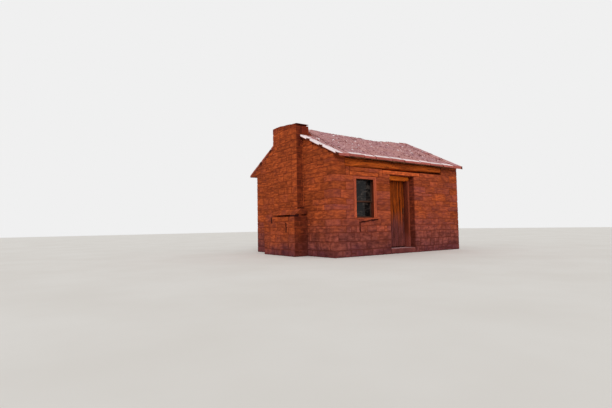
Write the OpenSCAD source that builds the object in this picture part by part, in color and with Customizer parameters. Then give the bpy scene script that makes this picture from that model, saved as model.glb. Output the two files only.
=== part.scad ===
// One-room sandstone house with an earth roof, a gable chimney and one door.
// X runs along the eaves, Y from the front wall to the back wall, Z up.
// The origin is at the middle of the footprint, on the ground.

/* [Walls] */
// Outside length along the eaves
wall_len = 5030; // [4600:10:5600]
// Outside width across the gable
wall_wid = 3960; // [3600:10:4400]
// Thickness of every wall
wall_t = 400; // [320:10:460]
// Height of the courses between the eaves log and the roof boards
over_log_h = 82; // [40:2:240]
// Height of the stone lintels over the door and the window
lintel_h = 115; // [80:5:160]

/* [Roof] */
// Pitch of the roof boards, on the back slope
deck_pitch = 24; // [20:0.5:25]
// Distance by which the front slope lies lower at the wall's face than the back slope
front_drop = 70; // [0:5:90]
// Pitch of the coping stones on the gables
cope_pitch = 26; // [25.5:0.5:28]
// Thickness of the roof boards
deck_t = 30; // [20:1:45]
// Thickness of the flat edge stones
slab_t = 75; // [50:5:100]
// Thickness of the coping stones on the right gable
right_slab_t = 90; // [60:5:120]
// Width of the eaves stones, up the slope
slab_w = 290; // [200:10:360]
// Reach of the eaves beyond the front wall
front_over = 210; // [120:10:300]
// Most by which one eaves stone stands back from the next
slab_shift = 24; // [0:2:40]
// Reach of the eaves beyond the back wall
back_over = 450; // [300:10:520]
// Reach of the coping beyond the gables
rake_over = 30; // [10:5:60]
// Distance by which that reach grows up the front row of the left gable
rake_gain = 70; // [0:5:90]
// Height lost by that row at the stack, against the row on the right gable
left_sink = 52; // [0:2:60]
// Depth of the earth at the ridge
ridge_earth = 165; // [130:5:200]
// Joint between two edge stones
slab_gap = 6; // [3:1:12]

/* [Roof timbers] */
// Diameter of the ridge pole
ridge_d = 200; // [160:10:240]
// Diameter of the purlins
purlin_d = 140; // [110:10:170]
// Length of each log's seat in a gable
log_seat = 150; // [100:10:180]
// Depth of the front eaves log at its thick end
beam_h = 262; // [220:2:280]
// Share of that depth left at its thin end
beam_taper = 0.68; // [0.6:0.01:0.9]
// Thickness of the eaves log, into the wall
beam_d = 240; // [200:10:280]
// Distance from the left corner to the eaves log
beam_x = 385; // [300:5:450]
// Length of the eaves log
beam_len = 3855; // [3600:5:4000]
// Distance by which the wall above the eaves log stands back
beam_recess = 100; // [60:10:150]

/* [Door] */
// Distance from the left corner to the doorway
door_x = 1985; // [1900:5:2050]
// Width of the doorway in the stone
door_w = 995; // [900:5:1050]
// Height of the doorway's head above the window's head
door_rise = 105; // [60:5:200]
// Height of the stone threshold
threshold_h = 150; // [100:5:180]
// Width of the door posts
post_w = 65; // [50:5:90]
// Height of the timber head
head_h = 108; // [80:2:130]
// Distance from the outer face back to the frame
frame_y = 190; // [150:5:220]
// Gap between the leaf and its frame
leaf_gap = 8; // [7:0.5:12]
// Gap between the leaf and the threshold
leaf_foot = 15; // [8:1:30]
// Reach of the stop that the leaf closes against
stop_w = 10; // [8:1:12]
// Thickness of the leaf's boards
leaf_t = 30; // [24:1:36]
// Number of boards in the leaf
leaf_boards = 6; // [4:1:8]
// Thickness of the battens on the leaf
batten_t = 22; // [18:1:28]
// Height of each batten
batten_h = 120; // [90:5:150]
// Distance from the leaf's edges to the ends of the battens
batten_edge = 20; // [15:1:40]
// Distance from the leaf's foot and head to the outer battens
batten_end = 150; // [100:10:250]
// Thickness of the hinge straps
strap_t = 5; // [4:0.5:8]
// Height of the hinge straps
strap_h = 45; // [35:1:60]
// Length of the hinge straps
strap_len = 520; // [300:10:700]
// Radius of the hinge pintles
pintle_r = 7; // [5:0.5:9]
// Height of each pintle's arm
pintle_arm_h = 18; // [12:1:24]
// Height of the pull above the threshold
pull_z = 970; // [800:10:1100]
// Height of the pull
pull_h = 150; // [120:5:200]
// Width of the pull
pull_w = 22; // [16:1:30]
// Reach of the pull in front of the leaf
pull_out = 40; // [32:1:60]
// Distance from the leaf's free edge to the pull
pull_edge = 68; // [50:2:120]

/* [Window] */
// Distance from the left corner to the window opening
win_x = 655; // [600:5:700]
// Width of the window opening in the stone
win_w = 805; // [760:5:850]
// Height of the opening's foot above the ground
win_z = 955; // [900:5:1000]
// Height of the opening
win_h = 1110; // [1050:5:1160]
// Width of the casing boards
casing_w = 92; // [70:2:110]
// Thickness of the casing boards
casing_t = 24; // [18:1:30]
// Thickness of the boards that line the opening
lining_t = 30; // [20:1:40]
// Distance from the outer face back to the sashes
sash_y = 140; // [100:5:170]
// Thickness of a sash
sash_t = 34; // [28:1:40]
// Width of the sash stiles and rails
sash_w = 44; // [36:1:56]
// Height of the meeting rail above the window's foot
meet_z = 460; // [400:5:560]
// Reach of the sill in front of the wall
sill_out = 15; // [0:1:30]
// Thickness of the glass
glass_t = 4; // [3:0.5:6]

/* [Chimney] */
// Distance from the front face to the stack
stack_y = 1300; // [1250:10:1350]
// Width of the stack
stack_w = 1250; // [1150:10:1300]
// Reach of the stack beyond the gable
stack_out = 210; // [180:5:240]
// Reach of the stack into the roof above the gable
stack_in = 220; // [180:5:260]
// Height of the stack's back corner above the ridge of the roof boards
stack_rise = 148; // [130:2:300]
// Length of the stack's top that is still level, from the back corner
stack_crest = 420; // [300:10:600]
// Height lost at the stack's front corner
stack_fall = 132; // [60:4:240]
// Height lost where the front corner's top stones have gone
stack_step = 60; // [0:5:80]
// Length of that gap, along the stack
stack_step_w = 300; // [200:10:400]
// Distance from the front face to the chimney base
base_y = 1120; // [1050:10:1180]
// Width of the chimney base
base_w = 1620; // [1500:10:1700]
// Reach of the chimney base beyond the gable
base_out = 430; // [380:5:480]
// Height of the chimney base at its outer edge
base_h = 1080; // [1000:10:1150]
// Rise of the sloping shoulder above the base
shoulder_h = 180; // [120:10:240]
// Height lost where stones have gone from the back end of the base
base_step_h = 150; // [120:10:160]
// Length of that broken end
base_step_w = 380; // [200:10:400]
// Width of the fireplace
fire_w = 820; // [700:10:840]
// Height of the stone between the fireplace and the base's top
fire_cover = 180; // [170:10:220]
// Height of the lintel over the fireplace
fire_lintel_h = 230; // [180:10:300]
// Thickness of the stone behind the fire
fire_back = 150; // [120:10:180]
// Height of the hearth stone
hearth_h = 150; // [100:5:180]
// Reach of the hearth stone into the room
hearth_in = 300; // [200:10:400]
// Width of the flue across the gable
flue_w = 300; // [240:10:360]
// Depth of the flue through the wall
flue_d = 200; // [160:10:220]

/* [Hidden] */

$fn = 48;
seat = 0.3;            // gap at a curved or sloping seat
joint = 4;             // mud joint left round a set stone
past = 1;              // how far a cutting shape runs past the face it cuts
lintel_seat_left = 275;
lintel_seat_right = 250;
window_lintel_seat = 120;
kneeler_h = 170;
kneeler_w = 300;
slab_lap = 50;         // eaves stones reach past the board ends
groove = 5;            // width of the bevels between the leaf's boards
pintle_post_w = 20;    // width of the pintle's arm where it enters the post
pintle_set = 50;       // distance from the pin to the far side of that arm
pintle_flat = 2;       // how far each side of the arm stands in from the pin's
pin_over = 4;          // height of the pin above the strap's eye
pull_bar = 8;          // thickness of the pull's grip
pull_foot = 20;        // height of the pull's feet
saw_gap = 0.5;         // joint between the casing boards
eaves_uneven = 0.15;   // most by which an eaves stone is thinner, as a share
cope_uneven = 0.12;    // most by which a coping stone is thinner, as a share
log_lift = 0.24;       // rise of the eaves log's foot to its thin end, as a share of its depth
log_square = 0.5;      // exponent that flattens the sides of the eaves log's round section
log_uneven = 0.02;     // half of the most by which the eaves log's skin stands in, as a share
log_twist = 540;       // turn of those hollows along the eaves log, in degrees
ridge_round = 280;     // distance from the ridge within which the earth rounds over
ridge_flat = 0.25;     // share of the slope's rise there that the rounding takes away
ridge_low = 30;        // mean depth by which the earth's ridge has sunk
sag = 26;              // height of the ridge's long wave
sag_len = 4200;
sag_top = 4900;        // distance from the left corner to the top of the long wave
wave = 12;             // height of the ridge's short wave
wave_len = 1900;
lump = 5;              // height of the larger lumps in the earth
lump_len = 684;
lump_small = 4;        // height of the smaller lumps in the earth
lump_small_len = 299;
lump_skew = 300;       // turn of the smaller lumps from the eaves to the ridge, in degrees

mid_y = wall_wid / 2;
top_z = win_z + win_h; // level where the top of the front wall starts
door_h = top_z + door_rise;
beam_z = door_h + lintel_h;
plate_h = beam_z + beam_h + over_log_h;
fire_h = base_h - fire_cover;
deck_rise = deck_t / cos(deck_pitch);
slab_rise = slab_t / cos(deck_pitch);
cope_rise = slab_t / cos(cope_pitch);
right_cope_rise = right_slab_t / cos(cope_pitch);
bond_rise = cope_rise / 2;             // the wall behind the stack rises this far up the coping
front_pitch = atan(tan(deck_pitch) + front_drop / mid_y);
board_h = plate_h + seat;              // underside of the boards at the wall's face
cover_h = board_h + deck_rise + seat;  // underside of the earth there
cope_h = plate_h + deck_rise;          // top of the gables there
left_fall = left_sink / (stack_y + front_over);  // slope lost by the left gable's front row
left_cope_h = cope_h - left_fall * front_over;
left_cope_pitch = atan(tan(cope_pitch) - left_fall);
field_x = wall_t;
field_len = wall_len - 2 * wall_t;
x_low = -base_out;
x_high = wall_len + rake_over;
y_low = -front_over;
y_high = wall_wid + back_over;

stone_red = [0.55, 0.27, 0.17];
stone_pale = [0.80, 0.68, 0.62];
earth_pink = [0.62, 0.46, 0.44];
timber = [0.55, 0.36, 0.20];
iron = [0.20, 0.17, 0.15];
glass = [0.3, 0.4, 0.45, 0.5];

// Height at distance y from the front face of a roof plane that starts at height h
// over the back wall's face and rises at the pitch given, with the front slope dropped
function roof_z(y, h, pitch) =
  h + (mid_y - abs(y - mid_y)) * tan(pitch) - front_drop * max(0, 1 - y / mid_y);
function board_z(y) = roof_z(y, board_h, deck_pitch);
function cover_z(y) = roof_z(y, cover_h, deck_pitch);

// Share from 0 to 1 that differs from one stone i of a row to the next
function unlike(i) = 0.5 + 0.5 * sin(137 * i + 40);

// Moves the house so that its footprint is centred on the origin
module place() {
  translate([-(x_low + x_high) / 2, -(y_low + y_high) / 2, 0]) children();
}

// Extrudes a profile drawn in Y and Z along X, from x0 over a length
module along_x(x0, length) {
  translate([x0, 0, 0]) rotate([90, 0, 90]) linear_extrude(length) children();
}

// Box from one corner to the opposite one
module block(low, high) {
  translate(low) cube(high - low);
}

// Wall profile between y0 and y1, from height z0 up to a roof plane
module under_roof(y0, y1, z0, h, pitch) {
  ridge = y0 < mid_y && y1 > mid_y ? [[mid_y, roof_z(mid_y, h, pitch)]] : [];
  polygon(concat(
    [[y0, z0], [y1, z0], [y1, roof_z(y1, h, pitch)]],
    ridge,
    [[y0, roof_z(y0, h, pitch)]]
  ));
}

// Flat layer that lies on a roof plane between y0 and y1, and is rise high at any y
module on_roof(y0, y1, h, pitch, rise) {
  polygon([
    [y0, roof_z(y0, h, pitch)],
    [y1, roof_z(y1, h, pitch)],
    [y1, roof_z(y1, h, pitch) + rise],
    [y0, roof_z(y0, h, pitch) + rise]
  ]);
}

/* Walls */

module front_wall_left() {
  color(stone_red) place() block([0, 0, 0], [win_x, wall_t, top_z]);
}

module window_wall_below() {
  color(stone_red) place() block([win_x, 0, 0], [win_x + win_w, wall_t, win_z]);
}

module front_wall_pier() {
  color(stone_red) place() block([win_x + win_w, 0, 0], [door_x, wall_t, top_z]);
}

module front_wall_right() {
  color(stone_red) place() block([door_x + door_w, 0, 0], [wall_len, wall_t, top_z]);
}

// Courses over the openings, notched for the lintels and the eaves log
module front_wall_top() {
  color(stone_red) place() difference() {
    union() {
      along_x(0, wall_len) under_roof(0, wall_t, top_z, plate_h, deck_pitch);
      along_x(0, wall_t) under_roof(0, wall_t, top_z, left_cope_h, left_cope_pitch);
      along_x(wall_len - wall_t, wall_t) under_roof(0, wall_t, top_z, cope_h, cope_pitch);
    }
    block([door_x, -past, top_z - past], [door_x + door_w, wall_t + past, door_h]);
    block(door_lintel_low() - [0, past, 0], door_lintel_high() + [0, past, 0]);
    block(window_lintel_low() - [0, past, past], window_lintel_high() + [0, past, 0]);
    block([beam_x, -past, beam_z],
          [beam_x + beam_len, beam_d + joint, beam_z + beam_h + joint]);
    block([beam_x, -past, beam_z + beam_h],
          [beam_x + beam_len, beam_recess, plate_h + wall_t]);
  }
}

module back_wall() {
  color(stone_red) place() {
    along_x(field_x, field_len)
      under_roof(wall_wid - wall_t, wall_wid, 0, plate_h, deck_pitch);
  }
}

// Gable wall under the plane given, with blind pockets for the ends of the logs
module gable(x0, y0, y1, pocket_x, h = cope_h, pitch = cope_pitch) {
  difference() {
    along_x(x0, wall_t) under_roof(y0, y1, 0, h, pitch);
    log_pocket(pocket_x, mid_y, ridge_d);
    log_pocket(pocket_x, purlin_front_y, purlin_d);
    log_pocket(pocket_x, purlin_back_y, purlin_d);
  }
}

module right_gable_wall() {
  color(stone_red) place() gable(wall_len - wall_t, wall_t, wall_wid, wall_len - wall_t);
}

module left_gable_front() {
  color(stone_red) place()
    gable(0, wall_t, stack_y, wall_t - log_seat, left_cope_h, left_cope_pitch);
}

module left_gable_back() {
  color(stone_red) place() gable(0, stack_y + stack_w, wall_wid, wall_t - log_seat);
}

// Corbels at the back corners, under the ends of the coping
module kneeler_stones() {
  color(stone_red) place() for (x0 = [0, wall_len - kneeler_w]) difference() {
    block([x0, wall_wid, plate_h - kneeler_h], [x0 + kneeler_w, y_high - slab_lap, cope_h]);
    along_x(x0 - past, kneeler_w + 2 * past)
      on_roof(wall_wid - past, y_high + past, cope_h, cope_pitch, wall_t);
  }
}

/* Lintels and threshold */

function door_lintel_low() = [door_x - lintel_seat_left, 0, door_h];
function door_lintel_high() =
  [door_x + door_w + lintel_seat_right, wall_t, door_h + lintel_h];
function window_lintel_low() = [win_x - window_lintel_seat, 0, top_z];
function window_lintel_high() = [win_x + win_w + window_lintel_seat, wall_t, top_z + lintel_h];

module door_lintel() {
  color(stone_red) place() block(door_lintel_low(), door_lintel_high());
}

module window_lintel() {
  color(stone_red) place() block(window_lintel_low(), window_lintel_high());
}

module door_threshold() {
  color(stone_pale) place() block([door_x, 0, 0], [door_x + door_w, wall_t, threshold_h]);
}

/* Door */

leaf_x = door_x + post_w + leaf_gap;
leaf_w = door_w - 2 * (post_w + leaf_gap);
leaf_z = threshold_h + leaf_foot;
leaf_top = door_h - head_h - leaf_gap;
leaf_y = wall_t - leaf_t - batten_t;
strap_y = leaf_y + leaf_t + batten_t;
batten_zs = [
  leaf_z + batten_end,
  (leaf_z + leaf_top - batten_h) / 2,
  leaf_top - batten_end - batten_h
];
eye_r = pintle_r + seat + strap_t;
hinge_x = door_x + post_w;
hinge_y = strap_y + eye_r;
head_z = door_h - head_h;
stop_y = leaf_y - leaf_gap;
stop_z = head_z - stop_w;

// Posts with the stops that the leaf closes against
module door_posts() {
  far_x = door_x + door_w - post_w;
  color(timber) place() {
    block([door_x, frame_y, threshold_h], [hinge_x, wall_t, head_z]);
    block([hinge_x, frame_y, threshold_h], [hinge_x + stop_w, stop_y, stop_z]);
    block([far_x, frame_y, threshold_h], [far_x + post_w, wall_t, head_z]);
    block([far_x - stop_w, frame_y, threshold_h], [far_x, stop_y, stop_z]);
  }
}

module door_head() {
  color(timber) place() {
    block([door_x, frame_y, head_z], [door_x + door_w, wall_t, door_h]);
    block([hinge_x, frame_y, stop_z], [door_x + door_w - post_w, stop_y, head_z]);
  }
}

module door_leaf() {
  pitch = leaf_w / leaf_boards;
  color(timber) place() difference() {
    block([leaf_x, leaf_y, leaf_z], [leaf_x + leaf_w, leaf_y + leaf_t, leaf_top]);
    for (i = [1 : leaf_boards - 1]) for (y = [leaf_y, leaf_y + leaf_t])
      translate([leaf_x + i * pitch, y, leaf_z - past])
        rotate([0, 0, 45]) linear_extrude(leaf_top - leaf_z + 2 * past)
          square(groove, center = true);
  }
}

module door_battens() {
  color(timber) place() for (z = batten_zs)
    block([leaf_x + batten_edge, leaf_y + leaf_t, z],
          [leaf_x + leaf_w - batten_edge, strap_y, z + batten_h]);
}

// Strap hinges on the top and bottom battens, each with an eye round its pintle
module door_hinge_straps() {
  color(iron) place() for (z = [batten_zs[0], batten_zs[2]]) {
    z0 = z + (batten_h - strap_h) / 2;
    difference() {
      union() {
        block([hinge_x, strap_y, z0], [hinge_x + strap_len, strap_y + strap_t, z0 + strap_h]);
        translate([hinge_x, hinge_y, z0]) cylinder(r = eye_r, h = strap_h);
      }
      translate([hinge_x, hinge_y, z0 - past])
        cylinder(r = pintle_r + seat, h = strap_h + 2 * past);
    }
  }
}

// Pintles: a pin on an arm that is let into the post
module door_pintles() {
  color(iron) place() for (z = [batten_zs[0], batten_zs[2]]) {
    z0 = z + (batten_h - strap_h) / 2;
    arm_z = z0 - pintle_arm_h;
    arm_low = hinge_y - pintle_r + pintle_flat;
    arm_high = hinge_y + pintle_r - pintle_flat;
    arm_x = hinge_x - pintle_set;
    translate([hinge_x, hinge_y, arm_z])
      cylinder(r = pintle_r, h = pintle_arm_h + strap_h + pin_over);
    block([arm_x, wall_t, arm_z], [arm_x + pintle_post_w, arm_high, z0 - seat]);
    block([arm_x, arm_low, arm_z], [hinge_x, arm_high, z0 - seat]);
  }
}

module door_pull() {
  x1 = leaf_x + leaf_w - pull_edge;
  x0 = x1 - pull_w;
  y0 = leaf_y - pull_out;
  z0 = threshold_h + pull_z;
  color(iron) place() difference() {
    block([x0, y0, z0], [x1, leaf_y, z0 + pull_h]);
    block([x0 - past, y0 + pull_bar, z0 + pull_foot],
          [x1 + past, leaf_y + past, z0 + pull_h - pull_foot]);
  }
}

/* Window */

win_in_x = win_x + lining_t;
win_in_w = win_w - 2 * lining_t;
win_in_z = win_z + lining_t;
win_in_top = top_z - lining_t;
meet = win_z + meet_z;

module window_jambs() {
  color(timber) place() for (x0 = [win_x, win_x + win_w - lining_t])
    block([x0, 0, win_in_z], [x0 + lining_t, wall_t, win_in_top]);
}

module window_head() {
  color(timber) place() block([win_x, 0, win_in_top], [win_x + win_w, wall_t, top_z]);
}

// Sill with a sloping nose that sheds the rain
module window_sill() {
  color(timber) place() along_x(win_x, win_w) polygon([
    [-sill_out, win_z],
    [wall_t, win_z],
    [wall_t, win_in_z],
    [0, win_in_z],
    [-sill_out, win_in_z - sill_out]
  ]);
}

// Casing boards that stand in the opening, flush with the wall's outer face
module window_casing() {
  side_w = casing_w - lining_t;
  side_top = win_in_top - casing_w / 2;
  color(timber) place() {
    for (x0 = [win_in_x, win_in_x + win_in_w - side_w])
      block([x0, 0, win_in_z], [x0 + side_w, casing_t, side_top]);
    block([win_in_x, 0, side_top + saw_gap], [win_in_x + win_in_w, casing_t, win_in_top]);
  }
}

module sash(y0, z0, z1) {
  difference() {
    block([win_in_x, y0, z0], [win_in_x + win_in_w, y0 + sash_t, z1]);
    block([win_in_x + sash_w, y0 - past, z0 + sash_w],
          [win_in_x + win_in_w - sash_w, y0 + sash_t + past, z1 - sash_w]);
  }
}

module pane(y0, z0, z1) {
  mid = y0 + (sash_t - glass_t) / 2;
  block([win_in_x + sash_w, mid, z0 + sash_w],
        [win_in_x + win_in_w - sash_w, mid + glass_t, z1 - sash_w]);
}

module upper_sash() {
  color(timber) place() sash(sash_y, meet - sash_w / 2, win_in_top);
}

module lower_sash() {
  color(timber) place() sash(sash_y + sash_t, win_in_z, meet + sash_w / 2);
}

module upper_pane() {
  color(glass) place() pane(sash_y, meet - sash_w / 2, win_in_top);
}

module lower_pane() {
  color(glass) place() pane(sash_y + sash_t, win_in_z, meet + sash_w / 2);
}

/* Chimney */

stack_mid = stack_y + stack_w / 2;
stack_high = board_z(mid_y) + deck_rise + stack_rise;
stack_low = stack_high - stack_fall;
fire_y = stack_mid - fire_w / 2;
fire_lintel_top = fire_h + fire_lintel_h;
flue_x = fire_back - stack_out;
shoulder_top = base_h + shoulder_h;

module flue(z0, z1) {
  block([flue_x, stack_mid - flue_w / 2, z0], [flue_x + flue_d, stack_mid + flue_w / 2, z1]);
}

// Front corner of the base at the back end, where stones are missing
module broken_corner(z1) {
  y1 = base_y + base_w;
  block([-base_out - past, y1 - base_step_w, base_h - base_step_h],
        [-stack_out, y1 + past, z1]);
}

// Wide base with the back of the fireplace in it
module chimney_base() {
  color(stone_red) place() difference() {
    block([-base_out, base_y, 0], [0, base_y + base_w, base_h]);
    broken_corner(base_h + past);
    block([fire_back - base_out, fire_y, -past], [past, fire_y + fire_w, fire_h]);
    flue(fire_h - past, base_h + past);
  }
}

// Stones that carry the base in to the stack: upright at the front end, sloping elsewhere
module chimney_shoulder() {
  y0 = base_y;
  y1 = base_y + base_w;
  color(stone_red) place() difference() {
    intersection() {
      along_x(-base_out, base_out) polygon([
        [y0, base_h], [y1, base_h], [stack_y + stack_w, shoulder_top], [y0, shoulder_top]
      ]);
      translate([0, y1 + past, 0]) rotate([90, 0, 0]) linear_extrude(base_w + 2 * past)
        polygon([[-base_out, base_h], [0, base_h], [0, shoulder_top], [-stack_out, shoulder_top]]);
    }
    broken_corner(shoulder_top + past);
    flue(base_h - past, shoulder_top + past);
  }
}

// Stack: bonded into the gable below the roof, and narrower above it
module chimney_stack() {
  color(stone_red) place() difference() {
    union() {
      along_x(-stack_out, stack_out + stack_in) polygon([
        [stack_y, shoulder_top],
        [stack_y + stack_w, shoulder_top],
        [stack_y + stack_w, stack_high],
        [stack_y + stack_w - stack_crest, stack_high],
        [stack_y + stack_step_w, stack_high - stack_step],
        [stack_y, stack_low]
      ]);
      along_x(0, wall_t) under_roof(stack_y, stack_y + stack_w, fire_lintel_top,
                                    cope_h + bond_rise, cope_pitch);
    }
    flue(fire_lintel_top - past, stack_high + past);
    log_pocket(wall_t - log_seat, mid_y, ridge_d);
  }
}

module fireplace_cheeks() {
  color(stone_red) place() for (ys = [[stack_y, fire_y], [fire_y + fire_w, stack_y + stack_w]])
    block([0, ys[0], 0], [wall_t, ys[1], fire_h]);
}

module fireplace_lintel() {
  color(stone_red) place() difference() {
    block([0, stack_y, fire_h], [wall_t, stack_y + stack_w, fire_lintel_top]);
    flue(fire_h - past, fire_lintel_top + past);
  }
}

module hearth_stone() {
  color(stone_pale) place()
    block([fire_back - base_out, fire_y, 0], [wall_t + hearth_in, fire_y + fire_w, hearth_h]);
}

/* Roof timbers */

purlin_front_y = (wall_t + mid_y) / 2;
purlin_back_y = wall_wid - purlin_front_y;

// Height of the axis of a log that touches the boards from below
function log_z(y, d) =
  board_z(y) - (d / 2 + seat) / cos(y > mid_y ? deck_pitch : front_pitch);

// Pocket that holds the end of a log in a gable, from x0 inwards
module log_pocket(x0, y, d) {
  translate([x0, y, log_z(y, d)]) rotate([0, 90, 0]) cylinder(r = d / 2 + seat, h = log_seat);
}

module log(y, d) {
  x0 = wall_t - log_seat + seat;
  translate([x0, y, log_z(y, d)]) rotate([0, 90, 0])
    cylinder(r = d / 2, h = field_len + 2 * (log_seat - seat));
}

module ridge_pole() {
  color(timber) place() log(mid_y, ridge_d);
}

module front_purlin() {
  color(timber) place() log(purlin_front_y, purlin_d);
}

module back_purlin() {
  color(timber) place() log(purlin_back_y, purlin_d);
}

// Eaves log: rounded section that tapers and bows along its length
module eaves_log() {
  rings = 24;
  sides = 20;
  points = [for (i = [0 : rings]) for (j = [0 : sides - 1]) log_point(i / rings, 360 * j / sides)];
  sides_faces = [
    for (i = [0 : rings - 1]) for (j = [0 : sides - 1])
      let (k = (j + 1) % sides)
      [i * sides + j, i * sides + k, (i + 1) * sides + k, (i + 1) * sides + j]
  ];
  near = [for (j = [sides - 1 : -1 : 0]) j];
  far = [for (j = [0 : sides - 1]) rings * sides + j];
  color(timber) place() polyhedron(points, concat([near], sides_faces, [far]), convexity = 4);
}

// Point on the skin of the eaves log at share u of its length and angle a
function log_point(u, a) =
  let (
    h = beam_h * (1 - (1 - beam_taper) * u),
    lift = beam_h * log_lift * u,
    bulge = 1 - log_uneven * (1 + sin(log_twist * u + a)),
    c = sign(cos(a)) * pow(abs(cos(a)), log_square),
    s = sign(sin(a)) * pow(abs(sin(a)), log_square)
  )
  [
    beam_x + joint / 2 + u * (beam_len - joint),
    beam_d / 2 * (1 + c * bulge),
    beam_z + lift + h / 2 * (1 + s * bulge)
  ];

/* Roof covering */

module roof_boards_front() {
  color(timber) place() along_x(field_x, field_len)
    on_roof(slab_lap - front_over, mid_y, board_h, deck_pitch, deck_rise);
}

module roof_boards_back() {
  color(timber) place() along_x(field_x, field_len)
    on_roof(mid_y, y_high - slab_lap, board_h, deck_pitch, deck_rise);
}

slab_run = slab_w * cos(deck_pitch);

// Height of the earth over the boards at x along the house and y across it
function earth_depth(x, y, y_edge) =
  let (
    v = abs(y - y_edge) / abs(mid_y - y_edge),
    near = max(0, 1 - abs(mid_y - y) / ridge_round),
    rounding = ridge_flat * tan(y_edge < mid_y ? front_pitch : deck_pitch) * ridge_round,
    waves = sag * cos(360 * (x - sag_top) / sag_len) + wave * sin(360 * x / wave_len),
    lumps = lump * sin(360 * x / lump_len)
      + lump_small * cos(360 * x / lump_small_len + lump_skew * v)
  )
  slab_rise + (ridge_earth - slab_rise) * v - rounding * pow(near, 2)
    + (waves - ridge_low) * pow(v, 2) + lumps * sin(180 * v);

// Earth covering from the eaves stones at y_edge up to the ridge
module earth_slope(y_edge) {
  nx = 36;
  ny = 14;
  xs = [for (i = [0 : nx]) field_x + i / nx * field_len];
  ys = [for (j = [0 : ny]) y_edge + j / ny * (mid_y - y_edge)];
  tops = [for (y = ys) for (x = xs) [x, y, cover_z(y) + earth_depth(x, y, y_edge)]];
  feet = [
    [xs[0], ys[0], cover_z(ys[0])], [xs[nx], ys[0], cover_z(ys[0])],
    [xs[nx], mid_y, cover_z(mid_y)], [xs[0], mid_y, cover_z(mid_y)]
  ];
  n = nx + 1;
  base = len(tops);
  cells = [
    for (j = [0 : ny - 1]) for (i = [0 : nx - 1])
      [j * n + i, (j + 1) * n + i, (j + 1) * n + i + 1, j * n + i + 1]
  ];
  low_side = concat([base], [for (i = [0 : nx]) i], [base + 1]);
  high_side = concat([base + 2], [for (i = [nx : -1 : 0]) ny * n + i], [base + 3]);
  left_side = concat([base + 3], [for (j = [ny : -1 : 0]) j * n], [base]);
  right_side = concat([base + 1], [for (j = [0 : ny]) j * n + nx], [base + 2]);
  faces = concat(cells, [low_side, high_side, left_side, right_side],
                 [[base, base + 1, base + 2, base + 3]]);
  flip = y_edge > mid_y;
  polyhedron(concat(tops, feet), flip ? [for (f = faces) reversed(f)] : faces, convexity = 6);
}

function reversed(list) = [for (i = [len(list) - 1 : -1 : 0]) list[i]];

module earth_front() {
  color(earth_pink) place() earth_slope(-front_over + slab_run);
}

module earth_back() {
  color(earth_pink) place() earth_slope(y_high - slab_run);
}

function sum(list, n) = n == 0 ? 0 : list[n - 1] + sum(list, n - 1);

// Place on a length where stone n of a row starts, by the stones' shares of it
function row_start(shares, n, length) = sum(shares, n) / sum(shares, len(shares)) * length;

eaves_shares = [5, 4, 6, 5, 7, 4, 6, 5];
cope_shares = [5, 4, 3];
long_cope_shares = [5, 4, 5, 4];

// Row of eaves stones of unlike thickness, with each edge a little back from reach
module eaves_stones(y_out, y_in, shares) {
  inward = sign(y_in - y_out);
  for (i = [0 : len(shares) - 1]) {
    a = row_start(shares, i, field_len);
    b = row_start(shares, i + 1, field_len);
    y0 = y_out + inward * slab_shift * unlike(i);
    along_x(field_x + a + slab_gap / 2, b - a - slab_gap)
      on_roof(min(y0, y_in), max(y0, y_in), cover_h, deck_pitch,
              slab_rise * (1 - eaves_uneven * unlike(i + 2)));
  }
}

module front_eaves_stones() {
  color(stone_pale) place() eaves_stones(-front_over, slab_run - front_over, eaves_shares);
}

module back_eaves_stones() {
  color(stone_pale) place() eaves_stones(y_high, y_high - slab_run, reversed(eaves_shares));
}

// Coping stones of the thickness rise, between the ends xs in X, from the eaves at y_out
// up the gable to y_in, on the plane given; each next stone reaches further by a step
module coping(xs, y_out, y_in, shares, rise, h = cope_h, pitch = cope_pitch, step = 0) {
  for (i = [0 : len(shares) - 1]) {
    gap = sign(y_in - y_out) * slab_gap;
    a = y_out + row_start(shares, i, y_in - y_out) + (i == 0 ? 0 : gap / 2);
    b = y_out + row_start(shares, i + 1, y_in - y_out) - gap / 2;
    along_x(xs[0] - i * step, xs[1] - xs[0] + i * step)
      on_roof(min(a, b), max(a, b), h + seat, pitch,
              rise * (i == 0 ? 1 : 1 - cope_uneven * unlike(i)));
  }
}

module left_coping_stones() {
  xs = [-rake_over, wall_t - slab_gap];
  color(stone_pale) place() {
    coping(xs, -front_over, stack_y, cope_shares, cope_rise, left_cope_h, left_cope_pitch,
           rake_gain / (len(cope_shares) - 1));
    coping(xs, y_high, stack_y + stack_w, cope_shares, cope_rise);
  }
}

module right_coping_stones() {
  xs = [wall_len - wall_t + slab_gap, x_high];
  color(stone_pale) place() {
    coping(xs, -front_over, mid_y, long_cope_shares, right_cope_rise);
    coping(xs, y_high, mid_y, long_cope_shares, right_cope_rise);
  }
}

front_wall_left();
window_wall_below();
front_wall_pier();
front_wall_right();
front_wall_top();
back_wall();
right_gable_wall();
left_gable_front();
left_gable_back();
kneeler_stones();
door_lintel();
window_lintel();
door_threshold();
door_posts();
door_head();
door_pintles();
door_leaf();
door_battens();
door_hinge_straps();
door_pull();
window_jambs();
window_head();
window_sill();
window_casing();
upper_sash();
lower_sash();
upper_pane();
lower_pane();
chimney_base();
chimney_shoulder();
chimney_stack();
fireplace_cheeks();
fireplace_lintel();
hearth_stone();
eaves_log();
ridge_pole();
front_purlin();
back_purlin();
roof_boards_front();
roof_boards_back();
earth_front();
earth_back();
front_eaves_stones();
back_eaves_stones();
left_coping_stones();
right_coping_stones();
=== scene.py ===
"""One-room stone house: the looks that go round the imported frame.

Stones, mud, earth, logs, boards, door and window are surfaces worked out with numpy. Points are
given in the house's own axes, in metres: X along the front wall from its left corner, Y from the
front wall to the back one, Z up from the ground. ORIGIN carries them into the frame.
"""

import itertools
import math

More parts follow.
